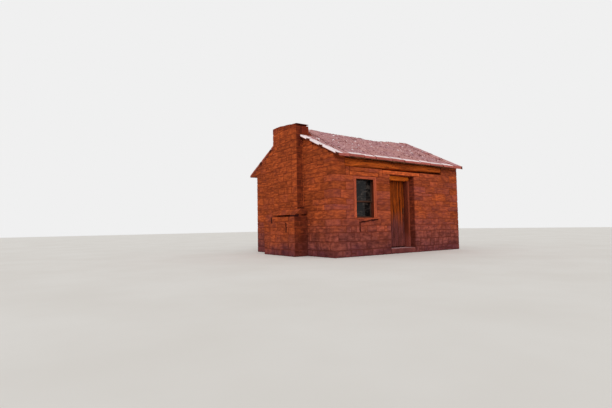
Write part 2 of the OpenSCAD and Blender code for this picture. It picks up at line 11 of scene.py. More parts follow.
import bpy
import numpy as np
from mathutils import Matrix, Vector


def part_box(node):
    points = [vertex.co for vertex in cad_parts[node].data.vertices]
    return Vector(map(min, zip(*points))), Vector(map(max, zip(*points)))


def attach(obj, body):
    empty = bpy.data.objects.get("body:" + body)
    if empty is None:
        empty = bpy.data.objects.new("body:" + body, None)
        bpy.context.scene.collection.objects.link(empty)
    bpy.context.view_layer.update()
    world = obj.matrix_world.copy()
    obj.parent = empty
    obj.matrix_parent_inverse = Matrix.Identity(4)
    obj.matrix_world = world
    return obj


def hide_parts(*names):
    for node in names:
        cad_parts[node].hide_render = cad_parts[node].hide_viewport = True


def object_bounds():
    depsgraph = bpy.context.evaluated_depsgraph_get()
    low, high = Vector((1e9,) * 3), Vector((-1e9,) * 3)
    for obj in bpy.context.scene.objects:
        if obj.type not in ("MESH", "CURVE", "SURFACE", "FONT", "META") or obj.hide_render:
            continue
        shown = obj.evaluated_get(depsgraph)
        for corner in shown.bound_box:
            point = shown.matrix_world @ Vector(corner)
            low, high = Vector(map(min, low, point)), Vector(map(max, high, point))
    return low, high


bl_info = {
    "name": "Stone House",
    "version": (1, 0, 0),
    "blender": (4, 5, 0),
    "location": "View3D > Sidebar > Stone House",
    "description": "Builds the masonry, roof, joinery and stage of a one-room stone house",
    "category": "Object",
}

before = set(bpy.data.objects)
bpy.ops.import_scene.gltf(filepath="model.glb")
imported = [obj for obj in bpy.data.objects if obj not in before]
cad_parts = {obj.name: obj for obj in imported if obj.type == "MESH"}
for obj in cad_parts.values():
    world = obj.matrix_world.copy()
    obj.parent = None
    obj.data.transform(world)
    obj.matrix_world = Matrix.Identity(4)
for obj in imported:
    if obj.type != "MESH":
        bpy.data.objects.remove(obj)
CAD_BOX = [list(corner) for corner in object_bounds()]


# Sizes that the frame's boxes don't tell, in metres like all others

DECK_ANGLE = math.radians(24)       # pitch of the roof boards
COPE_ANGLE = math.radians(26)       # pitch of the gables' tops
BOARD_THICK = 0.030
SLAB_THICK = 0.075
BED = 0.0003                        # by which things that lie on each other sink in
GAP = 0.004                         # kept free over the stones, under what lies on them
FLUE_X, FLUE_Y = (-0.060, 0.140), (1.775, 2.075)
BOND_RISE = 0.0417                  # by which the gable's top is higher behind the stack
STACK_BACK = 0.220                  # where the stack's own stones end and the gable's begin
ABOVE_ALL = 9.0                     # higher than the house


# Sizes read from the frame

def cad(*nodes):
    """Lowest and highest corner of some CAD nodes in the house's own axes"""
    corners = [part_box(node) for node in nodes]
    low = np.min([np.array(c[0]) for c in corners], 0)
    high = np.max([np.array(c[1]) for c in corners], 0)
    return low - ORIGIN, high - ORIGIN


ORIGIN = np.zeros(3)                # until the wall's corner has been read
ORIGIN = cad("front_wall_left")[0] * (1, 1, 0)
LENGTH = cad("front_wall_right")[1][0]
WALL = cad("front_wall_left")[1][1]
WIDTH = cad("back_wall")[1][1]
MID = WIDTH / 2
WINDOW = cad("window_jambs", "window_head", "window_sill")
DOOR = cad("door_posts", "door_head", "door_threshold")
DOOR_LINTEL = cad("door_lintel")
WINDOW_LINTEL = cad("window_lintel")
LOG = cad("eaves_log")
COPING = cad("left_coping_stones")
BASE = cad("chimney_base")
SHOULDER = cad("chimney_shoulder")
STACK = cad("chimney_stack")
CHEEKS = cad("fireplace_cheeks")
HEARTH = cad("hearth_stone")
BROKEN_END = BASE[1][1] - 0.380     # the base's top back corner is broken off past this
BROKEN_TOP = BASE[1][2] - 0.150     # and above this

DECK = math.tan(DECK_ANGLE)
COPE = math.tan(COPE_ANGLE)
FRONT_BOARDS = cad("roof_boards_front")
BACK_BOARDS = cad("roof_boards_back")
BOARD_RISE = BOARD_THICK / math.cos(DECK_ANGLE)
BOARD_FOOT = BACK_BOARDS[1][2] - BOARD_RISE - MID * DECK
COVER_FOOT = BOARD_FOOT + BOARD_RISE + BED
COPE_FOOT = BOARD_FOOT + BOARD_RISE - BED
FRONT_DROP = ((BOARD_FOOT + FRONT_BOARDS[0][1] * DECK - FRONT_BOARDS[0][2])
              / (1 - FRONT_BOARDS[0][1] / MID))
STEEPER = FRONT_DROP / MID          # what that drop adds to the front slope
EARTH_EDGES = cad("earth_front")[0][1], cad("earth_back")[1][1]
ROOF_TOP = CAD_BOX[1][2] - 0.002    # nothing lies higher on the roof


def roof_plane(y, foot, slope):
    """Height of a roof plane at distance y: it rises at the slope to the ridge from a foot over
    the back wall's face, and lies FRONT_DROP lower over the front wall's face"""
    return foot + (MID - np.abs(y - MID)) * slope - FRONT_DROP * np.maximum(0, 1 - y / MID)


LEFT_SINK = roof_plane(STACK[0][1], COPE_FOOT, COPE) - cad("left_gable_front")[1][2]
SINKING = LEFT_SINK / (STACK[0][1] - COPING[0][1])


def cope_plane(y, left=False):
    """Top of a gable. The left one's front part sinks below it towards the stack"""
    sunk = np.where(y < STACK[0][1] + 0.001, (y - COPING[0][1]) * SINKING, 0)
    return roof_plane(y, COPE_FOOT, COPE) - left * sunk


# Noise

def hashed(i, j, k, seed):
    """Share from 0 to 1 for each whole-numbered lattice point, by mixing its bits"""
    h = (i * 374761393 + j * 668265263 + k * 974634777 + seed * 1274126177) & 0xFFFFFFFF
    h = ((h ^ (h >> 13)) * 1274126177) & 0xFFFFFFFF
    h = ((h ^ (h >> 16)) * 668265263) & 0xFFFFFFFF
    return ((h ^ (h >> 15)) & 0xFFFF) / 65535.0


def noise(points, size, seed=0):
    """Smooth noise from -1 to 1: random lattice values a size apart, blended by 3t^2 - 2t^3"""
    q = points / size
    cell = np.floor(q).astype(np.int64)
    t = q - cell
    t = t * t * (3 - 2 * t)
    total = 0
    for corner in itertools.product((0, 1), repeat=3):
        share = np.prod(np.where(np.array(corner) == 1, t, 1 - t), axis=-1)
        i, j, k = (cell[..., n] + corner[n] for n in range(3))
        total = total + share * hashed(i, j, k, seed)
    return 2 * total - 1


def layered(points, size, seed=0, layers=3):
    """Noise of a size, plus noise of half that size at half the strength, and so on"""
    total = 0
    for n in range(layers):
        total = total + noise(points, size / 2 ** n, seed + n) / 2 ** n
    return total / (2 - 0.5 ** (layers - 1))


# Surfaces

def box_grid(cells):
    """Lattice points on the skin of a box cut into cells along X, Y and Z, with outward quads"""
    cells = np.array(cells)
    steps = [np.arange(n + 1) for n in cells]
    points = np.stack(np.meshgrid(*steps, indexing="ij"), -1).reshape(-1, 3)
    skin = ((points == 0) | (points == cells)).any(1)
    number = np.full(len(points), -1)
    number[skin] = np.arange(skin.sum())
    number = number.reshape(cells + 1)
    quads = []
    for axis in range(3):
        for side in (0, cells[axis]):
            sheet = np.take(number, side, axis)
            quad = np.stack([sheet[:-1, :-1], sheet[1:, :-1], sheet[1:, 1:], sheet[:-1, 1:]], -1)
            quad = quad.reshape(-1, 4)
            outward = (side > 0) != (axis == 1)
            quads.append(quad if outward else quad[:, ::-1])
    return points[skin], np.concatenate(quads)


def blocks(low, high, cells, edge=0.014, radius=0.012, rough=0.004, grain=0.12, pillow=0.0,
           chip=0.0, seed=1):
    """Rough blocks with rounded edges, one from each low corner to each high one.

    Grid points lie at an edge's width from the faces and evenly between. Each goes to the nearest
    point of its box shrunk by the radius, plus the radius along the way to it. Along that way it
    is sunk by smooth noise, and by a pillow that deepens towards the rim. One corner of each block
    is sunk as a chip. The third result is each point's nearness to the rim, from 0 to 1.
    """
    low = np.atleast_2d(low).astype(float)[:, None, :]
    high = np.atleast_2d(high).astype(float)[:, None, :]
    cells = np.array(cells)
    size = high - low
    lattice, quads = box_grid(cells)
    inner = np.clip((lattice - 1) / np.maximum(cells - 2, 1), 0, 1)
    ends = (lattice == 0) | (lattice == cells)
    share = np.where(ends, lattice / cells, inner)
    margin = np.where(ends, 0, 1 - 2 * inner) * np.minimum(edge, 0.3 * size)
    points = low + share * size + margin
    second = np.sort(np.minimum(points - low, high - points), axis=-1)[..., 1]
    rim = np.clip(1 - second / 0.035, 0, 1)
    bend = np.minimum(radius, 0.45 * size.min(-1, keepdims=True))
    core = np.clip(points, low + bend, high - bend)
    away = points - core
    away = away / np.maximum(np.linalg.norm(away, axis=-1, keepdims=True), 1e-9)
    rng = np.random.default_rng(seed)
    shift = rng.uniform(-40, 40, (len(low), 1, 3))
    sunk = rough * (1 + layered(points / grain + shift, 1.0, seed)) + pillow * rim ** 2
    points = core + away * (bend - sunk[..., None])
    if chip:
        corner = np.where(rng.random((len(low), 1, 3)) < 0.5, low, high)
        reach = chip * rng.random((len(low), 1))
        near = np.clip(1 - np.linalg.norm(points - corner, axis=-1) / reach, 0, 1)
        inward = (low + high) / 2 - points
        inward = inward / np.linalg.norm(inward, axis=-1, keepdims=True)
        points = points + inward * (near * reach * 0.45)[..., None]
    return points, quads, rim


def joined(points, quads):
    """One list of points and quads from many copies of a grid"""
    count, each = points.shape[:2]
    shift = np.arange(count)[:, None, None] * each
    return points.reshape(-1, 3), (quads[None] + shift).reshape(-1, quads.shape[1])


def tube_grid(rings, sides):
    """Quads of a closed tube of rings, with a fan of triangles to a middle point at each end"""
    i, j = np.meshgrid(np.arange(rings - 1), np.arange(sides), indexing="ij")
    k = (j + 1) % sides
    quads = np.stack([i * sides + j, i * sides + k, (i + 1) * sides + k, (i + 1) * sides + j], -1)
    ring = np.arange(sides)
    nxt = (ring + 1) % sides
    first, last = rings * sides, rings * sides + 1
    end = (rings - 1) * sides
    near = np.stack([nxt, ring, np.full(sides, first)], -1)
    far = np.stack([ring + end, nxt + end, np.full(sides, last)], -1)
    return quads.reshape(-1, 4), np.concatenate([near, far])


# Pieces

class Piece:
    """Gathers points, faces and point attributes, and makes one object of them"""

    def __init__(self, name, slot, material, body="house", replaces=(), smooth=50):
        self.name, self.slot, self.material, self.body = name, slot, material, body
        self.replaces, self.smooth = replaces, smooth
        self.points, self.faces, self.tint, self.grain = [], [], [], []
        self.count = 0

    def add(self, points, quads, tint=None, grain=None):
        """Adds surfaces. points is one list or one list for each block, and so is tint"""
        points = np.asarray(points, float)
        if points.ndim == 3:
            if tint is not None:
                tint = np.repeat(np.asarray(tint, float), points.shape[1], axis=0)
            points, quads = joined(points, quads)
        if tint is None:
            tint = np.full((len(points), 3), 0.5)
        tint = np.broadcast_to(np.asarray(tint, float), (len(points), 3))
        self.points.append(points)
        self.tint.append(tint)
        self.grain.append(points if grain is None else np.asarray(grain).reshape(-1, 3))
        for group in (quads if isinstance(quads, (list, tuple)) else [quads]):
            self.faces.append(group + self.count)
        self.count += len(points)

    def make(self):
        points = np.concatenate(self.points) + ORIGIN
        mesh = bpy.data.meshes.new(self.name)
        corners = np.concatenate([f.ravel() for f in self.faces])
        sizes = np.concatenate([np.full(len(f), f.shape[1]) for f in self.faces])
        mesh.vertices.add(len(points))
        mesh.vertices.foreach_set("co", points.ravel())
        mesh.loops.add(len(corners))
        mesh.loops.foreach_set("vertex_index", corners)
        mesh.polygons.add(len(sizes))
        mesh.polygons.foreach_set("loop_start", np.concatenate([[0], np.cumsum(sizes)[:-1]]))
        mesh.polygons.foreach_set("use_smooth", np.ones(len(sizes), bool))
        mesh.update(calc_edges=True)
        mesh.validate()
        tint = np.concatenate(self.tint)
        colour = mesh.attributes.new("tint", "FLOAT_COLOR", "POINT")
        colour.data.foreach_set("color", np.column_stack([tint, np.ones(len(tint))]).ravel())
        grain = mesh.attributes.new("grain", "FLOAT_VECTOR", "POINT")
        grain.data.foreach_set("vector", np.concatenate(self.grain).ravel())
        mesh.set_sharp_from_angle(angle=math.radians(self.smooth))
        mesh.materials.append(self.material)
        made = bpy.data.objects.new(self.name, mesh)
        bpy.context.scene.collection.objects.link(made)
        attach(made, self.body)
        if self.replaces:
            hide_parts(*self.replaces)


# Node trees

class Tree:
    """Adds nodes to a material's or a group's tree, with their values and links"""

    def __init__(self, tree):
        self.tree = tree

    def fill(self, node, values):
        """Sets a node's inputs: a socket is linked, anything else is written in"""
        for key, value in dict(values).items():
            if isinstance(value, bpy.types.NodeSocket):
                self.tree.links.new(value, node.inputs[key])
            else:
                node.inputs[key].default_value = value
        return node

    def add(self, kind, values=(), out=0, **settings):
        """Adds a node and gives one of its outputs"""
        node = self.tree.nodes.new(kind)
        for key, value in settings.items():
            setattr(node, key, value)
        return self.fill(node, values).outputs[out]

    def math(self, kind, a, b=0.0):
        """One sum of two values, or a function of one"""
        return self.add("ShaderNodeMath", {0: a, 1: b}, operation=kind)

    def plus(self, a, b):
        """a + b"""
        return self.math("ADD", a, b)

    def minus(self, a, b):
        """a - b"""
        return self.math("SUBTRACT", a, b)

    def times(self, a, b):
        """a * b"""
        return self.math("MULTIPLY", a, b)

    def most(self, *values):
        """Greatest of some values"""
        *rest, last = values
        for value in reversed(rest):
            last = self.math("MAXIMUM", value, last)
        return last

    def vector(self, kind, a, b=(0, 0, 0), out=0):
        """One sum of two vectors"""
        return self.add("ShaderNodeVectorMath", {0: a, 1: b}, out, operation=kind)

    def stretch(self, where, shares):
        """A place whose axes are each multiplied by a share, which draws a pattern out"""
        return self.vector("MULTIPLY", where, shares)

    def scaled(self, a, share):
        """A vector made longer or shorter"""
        return self.add("ShaderNodeVectorMath", {0: a, "Scale": share}, operation="SCALE")

    def noise(self, where, scale, detail=4.0, roughness=0.55, distortion=0.0):
        """Noise from 0 to 1"""
        values = {"Vector": where, "Scale": scale, "Detail": detail,
                  "Roughness": roughness, "Distortion": distortion}
        return self.add("ShaderNodeTexNoise", values)

    def ramp(self, value, low, high, to_low=0.0, to_high=1.0):
        """Smooth step from to_low to to_high as a value goes from low to high"""
        values = {0: value, 1: low, 2: high, 3: to_low, 4: to_high}
        return self.add("ShaderNodeMapRange", values, interpolation_type="SMOOTHSTEP")

    def mix(self, share, a, b, kind="MIX"):
        """Colour a, gone over to colour b by a share"""
        values = {0: share, 6: a, 7: b}
        return self.add("ShaderNodeMix", values, out=2, data_type="RGBA", blend_type=kind)

    def shaded(self, colour, value, low, high):
        """The colour times low to high, as a value goes from 0 to 1"""
        shade = self.plus(self.times(value, high - low), low)
        grey = self.add("ShaderNodeCombineColor", {0: shade, 1: shade, 2: shade})
        return self.mix(1.0, colour, grey, "MULTIPLY")

    def split(self, vector):
        """The three parts of a vector"""
        node = self.tree.nodes.new("ShaderNodeSeparateXYZ")
        self.tree.links.new(vector, node.inputs[0])
        return node.outputs

    def attribute(self, name):
        """A point attribute of the mesh"""
        return self.add("ShaderNodeAttribute", out="Vector", attribute_type="GEOMETRY",
                        attribute_name=name)

    def place(self):
        """Object coordinates, which are the frame's own"""
        return self.add("ShaderNodeTexCoord", out="Object")

    def facing(self):
        """The three parts of the surface's normal"""
        return self.split(self.add("ShaderNodeNewGeometry", out="Normal"))

    def group(self, group, values):
        """Places a shader group with its values and gives its outputs in their order"""
        node = self.tree.nodes.new("ShaderNodeGroup")
        node.node_tree = group
        return list(self.fill(node, values).outputs)


def linear(red, green, blue):
    """Scene-linear colour, with alpha, of a screen colour given from 0 to 255"""
    c = np.array([red, green, blue]) / 255
    c = np.where(c <= 0.04045, c / 12.92, ((c + 0.055) / 1.055) ** 2.4)
    return (*[float(x) for x in c], 1.0)


def shared_group(name, inputs, outputs, build):
    """Shader group of that name, made once: build gets its tree and inputs, and gives its outputs.
    Its first input is always the vector that its patterns are laid out by."""
    found = bpy.data.node_groups.get(name)
    if found:
        return found
    tree = bpy.data.node_groups.new(name, "ShaderNodeTree")
    for label, kind, value in (("Vector", "Vector", (0, 0, 0)), *inputs):
        socket = tree.interface.new_socket(label, in_out="INPUT", socket_type="NodeSocket" + kind)
        socket.default_value = value
    for label in outputs:
        tree.interface.new_socket(label, in_out="OUTPUT", socket_type="NodeSocketFloat")
    entry = tree.nodes.new("NodeGroupInput")
    end = tree.nodes.new("NodeGroupOutput")
    for socket, value in zip(end.inputs, build(Tree(tree), entry.outputs)):
        tree.links.new(value, socket)
    return tree


def material(name, build):
    """Material of that name, made once: build gets its tree and gives the shader's values, with
    the Height of its relief and the Depth of that in metres"""
    found = bpy.data.materials.get(name)
    if found:
        return found
    made = bpy.data.materials.new(name)
    made.use_nodes = True
    made.node_tree.nodes.clear()
    tree = Tree(made.node_tree)
    values = build(tree)
    height, depth = values.pop("Height", None), values.pop("Depth", 0.0)
    if height is not None:
        relief = {"Height": height, "Distance": depth, "Strength": 1.0}
        values["Normal"] = tree.add("ShaderNodeBump", relief)
    shader = tree.add("ShaderNodeBsdfPrincipled", values)
    end = made.node_tree.nodes.new("ShaderNodeOutputMaterial")
    made.node_tree.links.new(shader, end.inputs["Surface"])
    return made


# Effects that several materials share

def bedding_group():
    """Bedding of sandstone: noise drawn out sideways gives level streaks, with grains and pits"""
    def build(t, entry):
        where = entry["Vector"]
        lift = t.times(t.noise(where, 2.4, 2.0), 0.05)
        bent = t.vector("ADD", where, t.add("ShaderNodeCombineXYZ", {2: lift}))
        streak = t.noise(t.stretch(bent, (1.0, 1.0, 4.6)), entry["Scale"], 5.0, 0.62)
        patch = t.noise(where, 7.0, 3.0, 0.5, 0.3)
        pit = t.noise(where, 75.0, 3.0, 0.6)
        tooling = t.noise(t.stretch(where, (1.0, 1.0, 2.2)), 27.0, 4.0, 0.6, 0.4)
        height = t.plus(t.times(streak, 0.6), t.plus(t.times(tooling, 0.6), t.times(pit, 0.25)))
        return t.ramp(streak, 0.36, 0.64), t.ramp(patch, 0.3, 0.7), t.ramp(pit, 0.36, 0.6), height
    return shared_group("Bedding", [("Scale", "Float", 5.0)],
                        ("Streak", "Patch", "Grain", "Height"), build)


def bedded(t, place, own, scale):
    """The bedding at a scale, for each stone another stretch of the pattern by its own number"""
    where = t.vector("ADD", place, t.scaled((3.0, 7.0, 11.0), own))
    return t.group(bedding_group(), {"Vector": where, "Scale": scale})


def wood_group():
    """Wood grain along the first axis of a vector: long streaks, fine fibres and cracks"""
    def build(t, entry):
        def along(shares, detail, roughness, distortion):
            """Noise drawn out along the grain"""
            where = t.stretch(entry["Vector"], shares)
            return t.noise(where, entry["Coarse"], detail, roughness, distortion)
        streak = along((1.1, 16.0, 16.0), 4.0, 0.6, 0.5)
        fibre = along((3.0, 130.0, 130.0), 3.0, 0.6, 0.0)
        split = along((1.6, 34.0, 34.0), 3.0, 0.5, 0.8)
        crack = t.ramp(t.math("ABSOLUTE", t.minus(split, 0.5)), 0.0, 0.022, 1.0, 0.0)
        height = t.plus(t.times(streak, 0.6), t.times(fibre, 0.4))
        height = t.minus(height, t.times(crack, 0.7))
        return t.ramp(streak, 0.3, 0.7), t.ramp(fibre, 0.3, 0.7), crack, height
    return shared_group("Wood grain", [("Coarse", "Float", 1.0)],
                        ("Streak", "Fibre", "Crack", "Height"), build)


def damp_group():
    """Share of staining: half at a given height, fading over a width with a ragged edge"""
    def build(t, entry):
        ragged = t.minus(t.noise(entry["Vector"], 1.7, 4.0, 0.6), 0.5)
        height = t.minus(t.split(entry["Vector"])[2], entry["Middle"])
        height = t.plus(height, t.times(ragged, -0.9))
        return [t.ramp(t.math("DIVIDE", height, entry["Width"]), -1.0, 1.0, 1.0, 0.0)]
    return shared_group("Damp", [("Middle", "Float", 0.66), ("Width", "Float", 0.55)], ("Stain",),
                        build)


def damp_share(t, place, middle, width=0.55):
    """Share of staining round a height"""
    return t.group(damp_group(), {"Vector": place, "Middle": middle, "Width": width})[0]


def stain_share(t, place):
    """Share of the walls' staining, which lies lower on the chimney base"""
    x = t.split(t.vector("SUBTRACT", place, tuple(ORIGIN)))[0]
    return damp_share(t, place, t.ramp(x, -0.3, -0.05, 0.22, 0.66))


def painted_shade_share(t, place):
    """Share of painted shade on faces in the openings and in the lee of the chimney, where shade
    falls
    """
    nx, ny = t.facing()[:2]
    x, y = t.split(t.vector("SUBTRACT", place, tuple(ORIGIN)))[:2]
    outward = t.ramp(ny, -0.8, -0.3, 1.0, 0.0)
    lee = t.times(outward, t.ramp(x, -0.02, 0.0, 1.0, 0.0))
    deep = t.times(t.ramp(y, 0.01, 0.05), t.ramp(y, WALL, WALL + 0.05, 1.0, 0.0))
    inside = t.times(t.ramp(x, 0.05, 0.1), deep)
    facing = t.most(t.ramp(nx, -0.8, -0.3, 1.0, 0.0), t.times(outward, 0.6))
    return t.most(lee, t.times(facing, inside))


def crack_group():
    """Crack from one point along a line: nearness to that line, which noise makes wander"""
    def build(t, entry):
        values = {"Vector": entry["Vector"], "Scale": 9.0, "Detail": 3.0}
        wander = t.add("ShaderNodeTexNoise", values, "Color")
        wander = t.vector("SUBTRACT", wander, (0.5, 0.5, 0.5))
        place = t.vector("ADD", entry["Vector"], t.scaled(wander, 0.05))
        offset = t.vector("SUBTRACT", place, entry["Start"])
        along = entry["Along"]
        share = t.math("DIVIDE", t.vector("DOT_PRODUCT", offset, along, out="Value"),
                       t.vector("DOT_PRODUCT", along, along, out="Value"))
        share = t.add("ShaderNodeClamp", {0: share})
        away = t.vector("SUBTRACT", offset, t.scaled(along, share))
        far = t.math("DIVIDE", t.vector("LENGTH", away, out="Value"), entry["Width"])
        return [t.ramp(far, 0.35, 0.8, 1.0, 0.0)]
    return shared_group("Crack", [("Start", "Vector", (0, 0, 0)), ("Along", "Vector", (0, 0, 1)),
                                  ("Width", "Float", 0.01)], ("Crack",), build)


# Start, end and width of each crack: two under the window, the rest in the chimney. The last
# four are painted shadow lines, at the base's broken corner, along the open joint over the base
# and at the stack's foot
CRACKS_AND_SHADOW_LINES = (
    ((1.487, 0.0, 0.935), (0.843, 0.0, 0.870), 0.030),
    ((0.850, 0.0, 0.870), (0.852, 0.0, 0.640), 0.038),
    ((-0.430, 1.540, 0.870), (-0.430, 1.535, 0.660), 0.045),
    ((-0.430, 2.320, 1.120), (-0.430, 2.300, 0.910), 0.055),
    ((-0.430, 2.400, 1.105), (-0.430, 1.100, 1.080), 0.060),
    ((-0.430, 1.120, 1.080), (-0.300, 1.120, 1.080), 0.055),
    ((-0.220, 1.300, 1.285), (0.000, 1.300, 1.285), 0.030),
)


def cracks(t, place):
    """Share of all the cracks in the walls, painted shadow lines among them"""
    total = 0.0
    for start, end, width in CRACKS_AND_SHADOW_LINES:
        start, end = np.array(start) + ORIGIN, np.array(end) + ORIGIN
        crack, = t.group(crack_group(), {"Vector": place, "Start": tuple(start),
                                         "Along": tuple(end - start), "Width": width})
        total = t.most(crack, total)
    return total


def earth_group():
    """Gravelly earth: how mauve, how light and how dark it is, and its height. Runnels down the
    slope, clods and grains of three tones lighten and darken it."""
    def build(t, entry):
        place = entry["Vector"]
        grains = {"Vector": place, "Scale": 62.0}
        broad = t.noise(place, 1.6, 4.0, 0.6)
        clods = t.noise(place, 17.0, 5.0, 0.65)
        runnels = t.noise(t.stretch(place, (1.0, 0.3, 1.0)), 13.0, 4.0, 0.7)
        grit = t.add("ShaderNodeTexVoronoi", grains, out="Distance")
        kind = t.split(t.add("ShaderNodeTexVoronoi", grains, out="Color"))
        light = t.most(t.ramp(runnels, 0.5, 0.68, 0.0, 0.6), t.ramp(clods, 0.45, 0.66, 0.0, 0.35),
                       t.ramp(kind[0], 0.78, 0.84, 0.0, 0.55))
        dark = t.most(t.ramp(runnels, 0.34, 0.5, 0.6, 0.0), t.ramp(clods, 0.3, 0.45, 0.35, 0.0),
                      t.ramp(kind[1], 0.86, 0.9, 0.0, 0.55))
        height = t.plus(clods, t.times(t.ramp(grit, 0.0, 0.6, 1.0, 0.0), 0.5))
        return t.ramp(broad, 0.35, 0.65), light, dark, height
    return shared_group("Gravelly earth", (), ("Mauve", "Light", "Dark", "Height"), build)


def earthy(t, place):
    """Colour and height of the roof's earth"""
    colours = bpy.context.scene.stone_house.roof
    mauve, light, dark, height = t.group(earth_group(), {"Vector": place})
    colour = t.mix(mauve, colours.earth, colours.earth_mauve)
    colour = t.mix(dark, colour, colours.earth_dark)
    return t.mix(light, colour, colours.earth_light), height


# Materials

def sandstone_look(t):
    """Red sandstone: each stone streaked its own way, orange to brown, mauve near the ground"""
    colours = bpy.context.scene.stone_house.walls
    place = t.place()
    mauve, bright, own = t.split(t.attribute("tint"))
    rim, soot_and_shade = t.split(t.attribute("grain"))[:2]
    streak, patch, grain, height = bedded(t, place, own, 5.0)
    stain, crack = stain_share(t, place), cracks(t, place)
    broad = t.ramp(t.noise(place, 1.1, 3.0, 0.6), 0.35, 0.65, -0.3, 0.3)
    # Cooler towards the ground and warmer high up: painted skylit shade low down, painted warm
    # bounce light high up
    high = t.ramp(t.split(place)[2], 0.5, 2.4, 0.15, -0.3)
    cool = t.add("ShaderNodeClamp", {0: t.plus(mauve, t.plus(broad, high))})
    colour = t.mix(cool, colours.stone_orange, colours.stone_mauve)
    streaked = t.mix(streak, colours.streak_dark, colours.streak_light)
    colour = t.mix(t.ramp(cool, 0.0, 1.0, 0.6, 0.4), colour, streaked)
    mottle = t.plus(t.times(streak, 0.5), t.times(patch, 0.5))
    stained = t.mix(mottle, colours.stain_dark, colours.stain_light)
    colour = t.mix(t.times(stain, 0.9), colour, stained)
    # Darker purple at the foot of the walls, fading out by about 0.4 m
    colour = t.mix(t.times(damp_share(t, place, 0.16, 0.25), 0.75), colour, colours.foot_dark)
    colour = t.shaded(colour, bright, 0.8, 1.18)
    colour = t.shaded(colour, patch, 0.84, 1.12)
    # Dirt in the pits, and painted shade along the stones' rims, more of it near the ground
    dirt_and_rim_shade = t.times(t.minus(1.0, grain), 0.25)
    dirt_and_rim_shade = t.most(dirt_and_rim_shade, t.times(rim, t.ramp(patch, 0.0, 1.0, 0.25, 0.0)))
    dirt_and_rim_shade = t.most(dirt_and_rim_shade, t.times(rim, t.times(stain, 0.5)))
    colour = t.mix(dirt_and_rim_shade, colour, colours.stone_dirt_and_rim_shade)
    # Sooty darkening under the stack's top, with painted shade down its front-facing side
    colour = t.mix(t.times(soot_and_shade, t.ramp(grain, 0.0, 1.0, 0.9, 0.5)), colour, colours.soot_and_shade)
    # Painted shade on the reveals and on the chimney's front-facing sides
    dark = t.times(painted_shade_share(t, place), t.ramp(patch, 0.0, 1.0, 0.85, 0.6))
    colour = t.mix(dark, colour, colours.painted_shade)
    # Cracks, and painted shadow lines in the chimney
    colour = t.mix(crack, colour, colours.crack)
    return {"Base Color": colour, "Roughness": t.ramp(patch, 0.0, 1.0, 0.86, 0.98),
            "Specular IOR Level": 0.04, "Height": t.minus(height, t.times(crack, 2.0)),
            "Depth": 0.008}


def mud_look(t):
    """Red mud between the stones, close to their colour, with grit in it"""
    colours = bpy.context.scene.stone_house.walls
    place = t.place()
    coarse = t.noise(place, 9.0, 5.0, 0.6)
    grit = t.noise(place, 130.0, 3.0, 0.6)
    colour = t.mix(t.ramp(coarse, 0.3, 0.7), colours.mud_dark, colours.mud)
    colour = t.mix(t.times(stain_share(t, place), 0.8), colour, colours.stain_dark)
    # Cracks, and painted shadow lines in the chimney
    colour = t.mix(cracks(t, place), colour, colours.crack)
    return {"Base Color": colour, "Roughness": t.ramp(grit, 0.2, 0.8, 0.9, 1.0),
            "Specular IOR Level": 0.03, "Height": t.plus(coarse, t.times(grit, 0.4)),
            "Depth": 0.006}


def slab_look(t):
    """Flat stone: pale on top where it is bare, dusty where earth lies on it, and red at its
    edge, whose pink, orange and dark tones are painted shade"""
    house = bpy.context.scene.stone_house
    colours = house.roof
    place = t.place()
    bright, own = t.split(t.attribute("tint"))[1:]
    dust, side_tone_and_shade = t.split(t.attribute("grain"))[:2]
    streak, patch, grain, height = bedded(t, place, own, 12.0)
    top = t.mix(t.times(patch, 0.55), colours.slab_top, colours.slab_blot)
    specks = t.noise(place, 24.0, 4.0, 0.6)
    ragged = t.plus(dust, t.times(t.minus(specks, 0.5), 1.6))
    top = t.mix(t.ramp(ragged, 0.4, 0.6), top, earthy(t, place)[0])
    # Side colours: pink, orange and dark are painted shade, pale is the stone's own
    side = t.mix(t.ramp(side_tone_and_shade, 0.0, 1.0), colours.slab_side_shaded, colours.slab_warm_shaded)
    side = t.mix(t.times(t.minus(1.0, streak), 0.6), side, colours.slab_dark)
    side = t.mix(t.ramp(side_tone_and_shade, -1.0, 0.0, 1.0, 0.0), side, colours.slab_top)
    side = t.mix(t.ramp(side_tone_and_shade, 1.0, 2.0, 0.0, 0.9), side, colours.slab_shade)
    side = t.mix(damp_share(t, place, 0.3), side, house.walls.stain_dark)
    upward = t.ramp(t.facing()[2], 0.35, 0.8)
    colour = t.shaded(t.mix(upward, side, top), bright, 0.9, 1.08)
    return {"Base Color": colour, "Roughness": t.ramp(grain, 0.0, 1.0, 0.8, 0.95),
            "Specular IOR Level": 0.08, "Height": height, "Depth": 0.004}


def earth_look(t):
    """Pinkish earth full of gravel"""
    colour, height = earthy(t, t.place())
    return {"Base Color": colour, "Roughness": t.ramp(height, 0.2, 1.0, 0.9, 1.0),
            "Specular IOR Level": 0.04, "Height": height, "Depth": 0.009}


def pebble_look(t):
    """Roof gravel: each stone its own tone, from dark mauve to pale pink, and a few bleached"""
    colours = bpy.context.scene.stone_house.roof
    kind, bleached = t.split(t.attribute("tint"))[:2]
    fine = t.noise(t.place(), 60.0, 4.0, 0.6)
    colour = t.mix(t.ramp(kind, 0.0, 0.8), colours.earth_dark, colours.earth)
    colour = t.mix(t.ramp(kind, 0.6, 1.0), colour, colours.earth_light)
    colour = t.mix(t.ramp(bleached, 0.88, 0.95), colour, colours.slab_top)
    colour = t.mix(t.ramp(fine, 0.3, 0.7, 0.3, 0.0), colour, colours.earth_dark)
    return {"Base Color": colour, "Roughness": t.ramp(fine, 0.2, 0.8, 0.8, 0.95),
            "Specular IOR Level": 0.08, "Height": fine, "Depth": 0.004}


